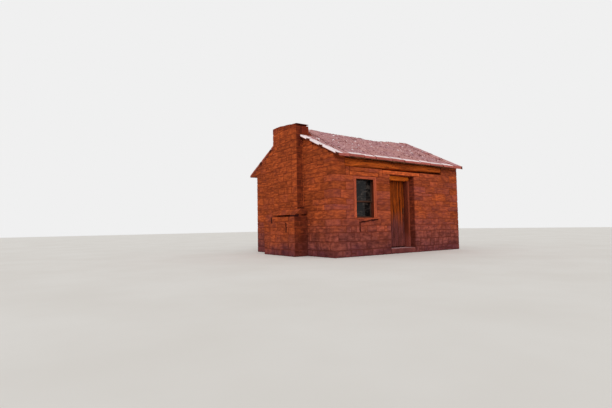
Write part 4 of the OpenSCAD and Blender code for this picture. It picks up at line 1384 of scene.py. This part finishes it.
def log_surface(low, high, middle, half_y, half_z, rings, sides, seed, square=1.0, knots=5):
    """Hewn log along X: rings of a rounded section whose size noise, long cracks and a few knots
    change. middle, half_y and half_z are functions of the share of its length, and square below 1
    makes the section boxy."""
    u = np.linspace(0, 1, rings)[:, None]
    a = 2 * math.pi * np.arange(sides)[None, :] / sides
    c, s = np.cos(a), np.sin(a)
    x = low + u * (high - low)
    where = np.stack(np.broadcast_arrays(x * 0.35, 0.12 * c, 0.12 * s), -1) + seed
    swell = 0.030 * layered(where, 0.30, seed) + 0.012 * layered(where * (3, 1, 1), 0.06, seed + 3)
    along = np.stack(np.broadcast_arrays(x * 0.5, c * 0.5, s * 0.5), -1) + seed
    crack = 0.06 * np.exp(-(noise(along, 0.09, seed + 5) / 0.05) ** 2)
    rng = np.random.default_rng(seed)
    lump = 0
    for _ in range(knots):
        at, angle = low + rng.uniform(0.05, 0.95) * (high - low), rng.uniform(0, 2 * math.pi)
        turned = np.angle(np.exp(1j * (a - angle)))
        lump = lump + 0.04 * np.exp(-((x - at) / 0.05) ** 2 - (turned / 0.5) ** 2)
    scale = np.minimum(0.955 + swell - crack + lump, 1.0)
    y = middle(u)[0] + half_y(u) * np.sign(c) * np.abs(c) ** square * scale
    z = middle(u)[1] + half_z(u) * np.sign(s) * np.abs(s) ** square * scale
    points = np.stack(np.broadcast_arrays(x, y, z), -1).reshape(-1, 3)
    ends = [(x_end, *[m.item() for m in middle(np.full(1, share))])
            for share, x_end in ((0.0, low), (1.0, high))]
    return np.concatenate([points, ends]), list(tube_grid(rings, sides))


def build_eaves_log():
    """Long log in the front wall: it tapers and rises to the right as the CAD log does"""
    low, high = LOG
    depth = high[1] - low[1]
    thick, taper, lift, short_by = 0.262, 0.68, 0.24, 0.03
    base = DOOR_LINTEL[1][2]

    def half(u):
        """Half the height at a share of the length"""
        return thick * (1 - (1 - taper) * u) / 2

    def middle(u):
        """Middle of the section there"""
        return low[1] + depth / 2 + 0 * u, base + thick * lift * u + half(u)

    points, faces = log_surface(low[0], high[0] - short_by, middle, lambda u: depth / 2, half,
                                150, 44, 201, square=0.5, knots=9)
    piece = Piece("eaves_log_hewn", "hewn_timber", look("hewn_log"), replaces=("eaves_log",))
    piece.add(points, faces, (0.5, 0.6, 0.5))
    piece.make()


def build_inner_logs():
    """Ridge pole and purlins, barked, their outlines made uneven by swellings, cracks and knots"""
    for seed, name in enumerate(("ridge_pole", "front_purlin", "back_purlin")):
        low, high = cad(name)
        centre = (low + high) / 2
        radius = (high[2] - low[2]) / 2
        points, faces = log_surface(
            low[0], high[0], lambda u: (centre[1] + 0 * u, centre[2] + 0 * u), lambda u: radius,
            lambda u: radius, 90, 28, 211 + seed, knots=12)
        piece = Piece(name + "_log", "hewn_timber", look("hewn_log"), replaces=(name,))
        piece.add(points, faces, (0.4, 0.3, 0.5))
        piece.make()


# Joinery

def board(piece, low, high, axis, seed, cells=None, edge=0.003, radius=0.003, rough=0.0006):
    """Sawn board with its grain along an axis: a block with sharp edges, faintly uneven"""
    if cells is None:
        cells = [3, 3, 3]
        cells[axis] = 10
    points, quads, _ = blocks(low, high, cells, edge, radius, rough, 0.05, seed=seed)
    rng = np.random.default_rng(seed)
    order = [axis, (axis + 1) % 3, (axis + 2) % 3]
    piece.add(points, quads, rng.random((1, 3)), points[..., order] + rng.uniform(-30, 30, 3))


def nail_heads(piece, centres, normal, radius=0.0045, sink=0.0008, sides=8):
    """Low domed nail heads whose flat backs lie on a board: three rings round the normal, each
    with its share of the radius and of half the radius as its height"""
    rings = np.array([[1.0, 0.0], [0.95, 0.45], [0.6, 0.8]])
    a = 2 * math.pi * np.arange(sides) / sides
    normal = np.array(normal, float)
    first = np.cross(normal, [0.3, 0.5, 0.8])
    first = first / np.linalg.norm(first)
    second = np.cross(normal, first)
    circle = np.cos(a)[:, None] * first + np.sin(a)[:, None] * second
    dome = [r * radius * circle + (h * 0.5 * radius - sink) * normal for r, h in rings]
    caps = np.stack([normal * -sink * 2, normal * (0.55 * radius - sink)])
    heads = np.asarray(centres, float)[:, None, :] + np.concatenate([*dome, caps])[None]
    quads, fans = tube_grid(len(rings), sides)
    points, quads = joined(heads, quads)
    piece.add(points, [quads, joined(heads, fans)[1]])


def build_door_frame():
    """Posts with their stops, and the hewn head"""
    posts = Piece("door_frame", "joinery", look("trim_wood"), replaces=("door_posts",))
    # The head's wood is brighter than the logs': painted light against the lintel's shade over it
    head = Piece("door_head_hewn", "joinery", look("head_wood_painted_light"), replaces=("door_head",))
    low, high = cad("door_posts")
    head_low, head_high = cad("door_head")
    post, stop, lap = 0.065, 0.010, 0.001
    left, right = low[0] + post, high[0] - post
    stop_front, stop_back = low[1] + 0.004, cad("door_leaf")[0][1] - 0.009
    for n, x in enumerate((low[0], right)):
        board(posts, (x, low[1], low[2]), (x + post, high[1], high[2]), 2, 221 + n, (4, 6, 24),
              0.005, 0.006, 0.0015)
    for n, x in enumerate((left - lap, right - stop)):
        board(posts, (x, stop_front, low[2]), (x + stop + lap, stop_back, high[2]), 2, 225 + n)
    board(head, (head_low[0], head_low[1], high[2]), head_high, 0, 229, (22, 6, 5),
          0.010, 0.016, 0.004)
    board(head, (left, stop_front, high[2] - stop), (right, stop_back, high[2] + lap), 0, 231)
    posts.make()
    head.make()


def build_door_leaf():
    """Boards of the leaf, with the battens behind them and their nails"""
    leaf = Piece("door_boards", "door_boards", look("door_board"), "door", ("door_leaf",))
    battens = Piece("door_back_battens", "door_boards", look("door_board"), "door",
                    ("door_battens",))
    nails = Piece("door_nails", "iron", look("rusty_iron"), "door")
    low, high = cad("door_leaf")
    batten_low, batten_high = cad("door_battens")
    count, half_gap, height = 6, 0.0015, 0.120
    width = (high[0] - low[0]) / count
    rng = np.random.default_rng(241)
    for n in range(count):
        x0 = low[0] + n * width + (half_gap if n else 0)
        x1 = low[0] + (n + 1) * width - (half_gap if n < count - 1 else 0)
        step, foot = rng.uniform(0, 0.004), rng.uniform(0, 0.010)
        board(leaf, (x0, low[1] + step, low[2] + foot), (x1, high[1], high[2] - foot / 3), 2,
              242 + n, (4, 3, 26), 0.004, 0.004, 0.0008)
    middles = low[0] + width * (np.arange(count) + 0.5)
    feet = (batten_low[2], (low[2] + high[2] - height) / 2, batten_high[2] - height)
    for n, z in enumerate(feet):
        board(battens, (*batten_low[:2], z), (*batten_high[:2], z + height), 0, 251 + n,
              (22, 3, 5), 0.006, 0.007, 0.0008)
        for offset in (0.03, 0.09):
            spots = [(x + 0.02 * (-1) ** k, low[1] + 0.0035, z + offset)
                     for k, x in enumerate(middles)]
            nail_heads(nails, spots, (0, -1, 0), sink=0.0002)
    for piece in (leaf, battens, nails):
        piece.make()


def paint(nodes, name):
    """Gives CAD nodes that stay a material"""
    for node in nodes:
        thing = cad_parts[node]
        thing.data.materials.clear()
        thing.data.materials.append(look(name))


def build_ironwork():
    """Nails in the straps, and the metal of the straps, pintles and pull"""
    nails = Piece("strap_nails", "iron", look("rusty_iron"), "door")
    low, high = cad("door_hinge_straps")
    height, face = 0.045, cad("door_battens")[1][1] + 0.005
    from_hinge = (0.08, 0.20, 0.32, 0.44, 0.50)
    for z in (low[2], high[2] - height):
        spots = [(low[0] + x, face, z + height / 2) for x in from_hinge]
        nail_heads(nails, spots, (0, 1, 0), radius=0.007)
    nails.make()
    paint(("door_hinge_straps", "door_pintles", "door_pull"), "rusty_iron")


def build_window_frame():
    """Lining, sill and casing of the window, with the casing's nails"""
    lining = Piece("window_lining", "joinery", look("trim_wood"),
                   replaces=("window_jambs", "window_head", "window_sill"))
    low, high = WINDOW
    jamb_low, jamb_high = cad("window_jambs")
    thick, front, back = 0.030, 0.001, jamb_high[1]
    for n, x in enumerate((low[0], high[0] - thick)):
        board(lining, (x, front, jamb_low[2]), (x + thick, back, jamb_high[2]), 2, 261 + n,
              (3, 6, 20))
    board(lining, (low[0], front, high[2] - thick), (high[0], back, high[2]), 0, 264, (16, 6, 3))
    board(lining, (low[0] + 0.002, low[1], low[2]), (high[0] - 0.002, back, low[2] + thick), 0,
          265, (20, 10, 3), 0.006, 0.009, 0.0015)
    casing = Piece("window_trim", "joinery", look("trim_wood"), replaces=("window_casing",))
    low, high = cad("window_casing")
    side, lap = 0.062, 0.001
    front, split = low[1] + lap, high[2] - 0.046
    for n, x in enumerate((low[0], high[0] - side)):
        board(casing, (x, front, low[2]), (x + side, high[1], split), 2, 271 + n, (4, 3, 20),
              0.004, 0.004, 0.001)
    board(casing, (low[0], front, split + lap), high, 0, 274, (16, 3, 4), 0.004, 0.004, 0.001)
    nails = Piece("window_nails", "iron", look("rusty_iron"))
    spots = [(x + side / 2 + dx, front, z)
             for x in (low[0], high[0] - side) for dx in (-0.015, 0.017)
             for z in (low[2] + 0.06, (low[2] + split) / 2, split - 0.06)]
    nail_heads(nails, spots, (0, -1, 0), sink=0.0)
    for piece in (lining, casing, nails):
        piece.make()


def build_sashes():
    """Upper and lower sash, each of two stiles with rails between them, and the glass"""
    bar, lap, thinner = 0.044, 0.0005, 0.0006
    for name, seed in (("upper_sash", 281), ("lower_sash", 285)):
        low, high = cad(name)
        piece = Piece(name + "_frame", "joinery", look("sash_wood"), replaces=(name,))
        for k, x in enumerate((low[0], high[0] - bar)):
            board(piece, (x, low[1], low[2]), (x + bar, high[1], high[2]), 2, seed + k)
        for k, z in enumerate((low[2], high[2] - bar)):
            board(piece, (low[0] + bar - lap, low[1] + thinner, z),
                  (high[0] - bar + lap, high[1] - thinner, z + bar), 0, seed + 2 + k)
        piece.make()
    paint(("upper_pane", "lower_pane"), "old_glass")


# Stage

def set_floor(scene):
    """Plain pale floor"""
    def pale(t):
        fine = t.noise(t.place(), 0.6, 3.0)
        colour = t.mix(t.ramp(fine, 0.2, 0.8), linear(226, 222, 216), linear(232, 229, 224))
        return {"Base Color": colour, "Roughness": 0.9, "Specular IOR Level": 0.1}

    reach = 60.0
    mesh = bpy.data.meshes.new("floor")
    corners = [(-reach, -reach, 0), (reach, -reach, 0), (reach, reach, 0), (-reach, reach, 0)]
    mesh.from_pydata(corners, [], [(0, 1, 2, 3)])
    mesh.materials.append(material("floor_pale", pale))
    floor = bpy.data.objects.new("floor", mesh)
    scene.collection.objects.link(floor)


def set_light(scene):
    """Soft light from all round, which the camera and mirrors see at its plain strength, and a
    broad key lamp"""
    settings = scene.stone_house.stage
    scene.view_settings.view_transform = "Standard"
    world = bpy.data.worlds.new("studio")
    scene.world = world
    world.use_nodes = True
    world.node_tree.nodes.clear()
    t = Tree(world.node_tree)
    rays = world.node_tree.nodes.new("ShaderNodeLightPath").outputs
    seen = t.most(rays["Is Camera Ray"], rays["Is Glossy Ray"], rays["Is Transmission Ray"])
    strength = t.add("ShaderNodeMapRange", {0: seen, 3: settings.world_strength, 4: 1.0})
    background = t.add("ShaderNodeBackground", {"Color": linear(240, 240, 240),
                                                "Strength": strength})
    end = world.node_tree.nodes.new("ShaderNodeOutputWorld")
    world.node_tree.links.new(background, end.inputs["Surface"])

    sun = bpy.data.lights.new("key", "SUN")
    sun.energy = settings.key_strength
    sun.angle = math.radians(35)
    key = bpy.data.objects.new("key", sun)
    key.rotation_euler = Vector((0.50, 0.64, -0.40)).to_track_quat("-Z", "Y").to_euler()
    scene.collection.objects.link(key)


def set_camera(scene):
    """Camera at the photo's place and angle: its axes are the heading and its sides, tilted by the
    pitch and turned by the roll"""
    settings = scene.stone_house.stage
    yaw, pitch, roll = settings.camera_yaw, settings.camera_pitch, settings.camera_roll
    ahead = Vector((math.sin(yaw) * math.cos(pitch), math.cos(yaw) * math.cos(pitch),
                    math.sin(pitch)))
    right = Vector((math.cos(yaw), -math.sin(yaw), 0.0))
    up = right.cross(ahead)
    turned_right = right * math.cos(roll) + up * math.sin(roll)
    turned_up = up * math.cos(roll) - right * math.sin(roll)
    turn = Matrix((turned_right, turned_up, -ahead)).transposed()
    data = bpy.data.cameras.new("camera")
    data.sensor_width = 36.0
    data.lens = settings.lens
    data.clip_start, data.clip_end = 0.1, 200.0
    camera = bpy.data.objects.new("camera", data)
    camera.rotation_mode = "QUATERNION"
    camera.rotation_quaternion = turn.to_quaternion()
    camera.location = settings.camera_place
    scene.collection.objects.link(camera)
    scene.camera = camera


# Properties

def tone(name, description, red, green, blue):
    """Colour property whose default is given as a screen colour"""
    return bpy.props.FloatVectorProperty(
        name=name, description=description, subtype="COLOR", size=4, min=0.0, max=1.0,
        default=linear(red, green, blue))


def length(name, description, value, low, high):
    """Length property"""
    return bpy.props.FloatProperty(name=name, description=description, default=value, min=low,
                                   max=high, unit="LENGTH", subtype="DISTANCE", precision=4)


def number(name, description, value, low, high, subtype="NONE", unit="NONE"):
    """Plain number, share, angle or focal length property"""
    return bpy.props.FloatProperty(name=name, description=description, default=value, min=low,
                                   max=high, subtype=subtype, unit=unit)


class WallSettings(bpy.types.PropertyGroup):
    """Sizes and colours of the masonry"""
    course: length("Course", "Height of a course", 0.187, 0.10, 0.35)
    stone_length: length("Stone length", "Usual length of a stone", 0.38, 0.15, 0.90)
    thin_share: number("Thin stones", "Share of places with two thin stones", 0.14, 0.0, 1.0,
                       "FACTOR")
    joint: length("Joint", "Usual width of a joint", 0.005, 0.002, 0.03)
    joint_depth: length("Joint depth", "How far the mud lies behind the face", 0.010, 0.0, 0.04)
    rounding: length("Rounding", "Radius of the stones' edges", 0.010, 0.002, 0.06)
    relief: length("Relief", "Depth of the hollows in a face", 0.005, 0.0, 0.03)
    pillow: length("Pillow", "How far a face falls back to its rim", 0.0015, 0.0, 0.02)
    unevenness: length("Unevenness", "Most by which a stone stands back", 0.002, 0.0, 0.03)
    stone_orange: tone("Orange stone", "Warmest stones", 160, 72, 34)
    stone_mauve: tone("Mauve stone", "Coolest stones", 134, 66, 60)
    streak_light: tone("Light streaks", "Light streaks of the bedding", 190, 90, 44)
    streak_dark: tone("Dark streaks", "Dark streaks of the bedding", 100, 40, 24)
    stain_light: tone("Light stain", "Light streaks near the ground", 144, 80, 72)
    stain_dark: tone("Dark stain", "Dark streaks near the ground", 80, 38, 38)
    # Dirt in the pits, and painted shade on the stones' rims
    stone_dirt_and_rim_shade: tone("Dirt", "Dirt on the rims and in the pits", 84, 34, 22)
    # Darker purple stone at the foot of the walls
    foot_dark: tone("Damp", "Damp stone at the ground", 84, 42, 52)
    # Sooty darkening and painted shade at the stack's top and front-facing side
    soot_and_shade: tone("Soot", "Sooty maroon at the chimney's top", 92, 26, 24)
    # Painted shade for faces in the openings and in the chimney's lee
    painted_shade: tone("Sheltered stone", "Dark faces out of the light", 72, 26, 16)
    # Also the colour of the chimney's painted shadow lines
    crack: tone("Crack", "Open cracks", 52, 18, 16)
    mud: tone("Mud", "Mud in the joints", 146, 65, 37)
    mud_dark: tone("Dark mud", "Darkest mud", 116, 50, 31)


class RoofSettings(bpy.types.PropertyGroup):
    """Colours of the roof and how much gravel is on it"""
    pebbles: bpy.props.IntProperty(name="Pebbles", description="Pebbles on the roof",
                                   default=2600, min=0, max=4000)
    slab_top: tone("Slab top", "Bleached top of the flat stones", 244, 232, 234)
    slab_blot: tone("Slab blotches", "Dusty patches on them", 206, 172, 168)
    # Edge colours that stand for shade: pink, orange, and the dark of painted shadow lines
    slab_side_shaded: tone("Slab edge", "Edges of the flat stones", 176, 98, 90)
    slab_warm_shaded: tone("Warm slab edge", "Edges of the coping stones", 158, 74, 38)
    slab_dark: tone("Slab layers", "Dark layers in those edges", 122, 56, 42)
    slab_shade: tone("Slab shade", "Dark lines between their layers", 62, 24, 18)
    earth: tone("Earth", "Roof earth", 180, 126, 122)
    earth_mauve: tone("Mauve earth", "Cooler stretches of it", 166, 116, 122)
    earth_light: tone("Light earth", "Dry clods and pale grains", 214, 172, 168)
    earth_dark: tone("Dark earth", "Hollows and dark grains", 108, 60, 60)
    log_light: tone("Log", "Light wood of the logs", 206, 98, 34)
    log_dark: tone("Dark log", "Dark wood of the logs", 140, 58, 20)
    log_crack: tone("Log cracks", "Cracks in the wood", 48, 22, 12)
    # Door head tones brighter than the logs': painted light against the shade under the lintel
    head_light: tone("Door head", "Light wood over the door", 255, 142, 46)
    head_dark: tone("Dark door head", "Dark wood over the door", 200, 92, 30)
    board_light: tone("Roof board", "Light wood of the boards", 142, 92, 60)
    board_dark: tone("Dark roof board", "Dark wood of the boards", 92, 54, 34)


class JoinerySettings(bpy.types.PropertyGroup):
    """Colours of the door, window and ironwork"""
    trim_light: tone("Trim", "Light wood of frames and casings", 204, 98, 62)
    trim_dark: tone("Dark trim", "Dark wood of frames and casings", 146, 66, 46)
    door_light: tone("Door boards", "Light wood of the door", 186, 82, 18)
    door_dark: tone("Dark door boards", "Dark wood of the door", 48, 14, 4)
    sash_light: tone("Sash", "Light wood of the sashes", 92, 60, 46)
    sash_dark: tone("Dark sash", "Dark wood of the sashes", 54, 32, 24)
    wood_crack: tone("Wood cracks", "Cracks in the joinery", 40, 18, 12)
    # Grey wood near the ground; on the door it is painted shade up to mid-height
    grey_wood_and_shade: tone("Grey wood", "Weathered wood near the ground", 124, 68, 70)
    iron: tone("Iron", "Bare iron", 58, 50, 46)
    rust: tone("Rust", "Rust on the iron", 98, 50, 30)
    # Near-black glass: painted shade of the dark room behind it
    glass: tone("Glass", "Window glass", 20, 18, 18)
    glass_dust: tone("Glass dust", "Dust on the glass", 84, 74, 68)


class StageSettings(bpy.types.PropertyGroup):
    """Light and camera"""
    world_strength: number("World", "Light from all round", 0.66, 0.0, 2.0)
    key_strength: number("Key", "Strength of the key lamp", 1.9, 0.0, 10.0)
    lens: number("Lens", "Focal length", 23.597, 10.0, 200.0, unit="CAMERA")
    camera_yaw: number("Yaw", "Heading from the Y axis", math.radians(35.0), -7, 7, "ANGLE")
    camera_pitch: number("Pitch", "Tilt above the horizon", math.radians(3.271), -2, 2, "ANGLE")
    camera_roll: number("Roll", "Turn about the view line", math.radians(-0.99), -2, 2, "ANGLE")
    camera_place: bpy.props.FloatVectorProperty(name="Camera", description="Place of the eye",
                                                default=(-8.481, -9.718, 0.774), unit="LENGTH",
                                                subtype="TRANSLATION")


class HouseSettings(bpy.types.PropertyGroup):
    """All settings of the stone house"""
    walls: bpy.props.PointerProperty(type=WallSettings)
    roof: bpy.props.PointerProperty(type=RoofSettings)
    joinery: bpy.props.PointerProperty(type=JoinerySettings)
    stage: bpy.props.PointerProperty(type=StageSettings)


# Operators

class STONEHOUSE_OT_front_wall(bpy.types.Operator):
    """Lay the front wall's stones"""
    bl_idname = "stonehouse.front_wall"
    bl_label = "Front Wall"

    def execute(self, context):
        build_front_wall()
        return {"FINISHED"}


class STONEHOUSE_OT_back_wall(bpy.types.Operator):
    """Lay the back wall's stones"""
    bl_idname = "stonehouse.back_wall"
    bl_label = "Back Wall"

    def execute(self, context):
        build_back_wall()
        return {"FINISHED"}


class STONEHOUSE_OT_gables(bpy.types.Operator):
    """Lay the stones of both gables"""
    bl_idname = "stonehouse.gables"
    bl_label = "Gables"

    def execute(self, context):
        build_gables()
        return {"FINISHED"}


class STONEHOUSE_OT_lintels(bpy.types.Operator):
    """Set the lintels, the threshold and the kneelers"""
    bl_idname = "stonehouse.lintels"
    bl_label = "Lintels"

    def execute(self, context):
        build_lintels()
        return {"FINISHED"}


class STONEHOUSE_OT_chimney(bpy.types.Operator):
    """Build the chimney's base, shoulder and stack"""
    bl_idname = "stonehouse.chimney"
    bl_label = "Chimney"

    def execute(self, context):
        build_chimney_base()
        build_chimney_shoulder()
        build_chimney_stack()
        return {"FINISHED"}


class STONEHOUSE_OT_fireplace(bpy.types.Operator):
    """Set the stones of the fireplace and the hearth"""
    bl_idname = "stonehouse.fireplace"
    bl_label = "Fireplace"

    def execute(self, context):
        build_fireplace()
        return {"FINISHED"}


class STONEHOUSE_OT_logs(bpy.types.Operator):
    """Lay the eaves log, the ridge pole and the purlins"""
    bl_idname = "stonehouse.logs"
    bl_label = "Logs"

    def execute(self, context):
        build_eaves_log()
        build_inner_logs()
        return {"FINISHED"}


class STONEHOUSE_OT_roof_boards(bpy.types.Operator):
    """Board both slopes"""
    bl_idname = "stonehouse.roof_boards"
    bl_label = "Roof Boards"

    def execute(self, context):
        build_roof_boards()
        return {"FINISHED"}


class STONEHOUSE_OT_earth(bpy.types.Operator):
    """Cover the boards with earth, with gravel on it"""
    bl_idname = "stonehouse.earth"
    bl_label = "Earth and Gravel"

    def execute(self, context):
        build_earth()
        build_gravel()
        return {"FINISHED"}


class STONEHOUSE_OT_edge_stones(bpy.types.Operator):
    """Lay the eaves stones and the coping"""
    bl_idname = "stonehouse.edge_stones"
    bl_label = "Edge Stones"

    def execute(self, context):
        build_edge_stones()
        return {"FINISHED"}


class STONEHOUSE_OT_door_frame(bpy.types.Operator):
    """Set the posts and the head of the door"""
    bl_idname = "stonehouse.door_frame"
    bl_label = "Door Frame"

    def execute(self, context):
        build_door_frame()
        return {"FINISHED"}


class STONEHOUSE_OT_door_leaf(bpy.types.Operator):
    """Hang the boarded leaf with its battens and ironwork"""
    bl_idname = "stonehouse.door_leaf"
    bl_label = "Door Leaf"

    def execute(self, context):
        build_door_leaf()
        build_ironwork()
        return {"FINISHED"}


class STONEHOUSE_OT_window_frame(bpy.types.Operator):
    """Set the lining and the casing of the window"""
    bl_idname = "stonehouse.window_frame"
    bl_label = "Window Frame"

    def execute(self, context):
        build_window_frame()
        return {"FINISHED"}


class STONEHOUSE_OT_sashes(bpy.types.Operator):
    """Fit the sashes and their glass"""
    bl_idname = "stonehouse.sashes"
    bl_label = "Sashes"

    def execute(self, context):
        build_sashes()
        return {"FINISHED"}


class STONEHOUSE_OT_stage(bpy.types.Operator):
    """Set up the floor, the light and the camera"""
    bl_idname = "stonehouse.stage"
    bl_label = "Stage"

    def execute(self, context):
        set_floor(context.scene)
        set_light(context.scene)
        set_camera(context.scene)
        return {"FINISHED"}


class STONEHOUSE_PT_sidebar(bpy.types.Panel):
    """Lists the house's operators and settings"""
    bl_idname = "STONEHOUSE_PT_sidebar"
    bl_label = "Stone House"
    bl_space_type = "VIEW_3D"
    bl_region_type = "UI"
    bl_category = "Stone House"

    def draw(self, context):
        for step in STEPS:
            self.layout.operator(step.bl_idname)
        for part in HouseSettings.__annotations__:
            group = getattr(context.scene.stone_house, part)
            box = self.layout.box()
            box.label(text=part.title())
            for key in group.__annotations__:
                box.prop(group, key)


STEPS = (
    STONEHOUSE_OT_stage,
    STONEHOUSE_OT_front_wall,
    STONEHOUSE_OT_back_wall,
    STONEHOUSE_OT_gables,
    STONEHOUSE_OT_lintels,
    STONEHOUSE_OT_chimney,
    STONEHOUSE_OT_fireplace,
    STONEHOUSE_OT_logs,
    STONEHOUSE_OT_roof_boards,
    STONEHOUSE_OT_earth,
    STONEHOUSE_OT_edge_stones,
    STONEHOUSE_OT_door_frame,
    STONEHOUSE_OT_door_leaf,
    STONEHOUSE_OT_window_frame,
    STONEHOUSE_OT_sashes,
)
CLASSES = (WallSettings, RoofSettings, JoinerySettings, StageSettings, HouseSettings,
           *STEPS, STONEHOUSE_PT_sidebar)


def register():
    """Registers the classes and puts the settings on the scene"""
    for cls in CLASSES:
        bpy.utils.register_class(cls)
    bpy.types.Scene.stone_house = bpy.props.PointerProperty(type=HouseSettings)


def unregister():
    """Takes both away again"""
    del bpy.types.Scene.stone_house
    for cls in reversed(CLASSES):
        bpy.utils.unregister_class(cls)


def main():
    """Registers the add-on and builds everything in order"""
    register()
    for step in STEPS:
        group, name = step.bl_idname.split(".")
        getattr(getattr(bpy.ops, group), name)()


if __name__ == "__main__":
    main()
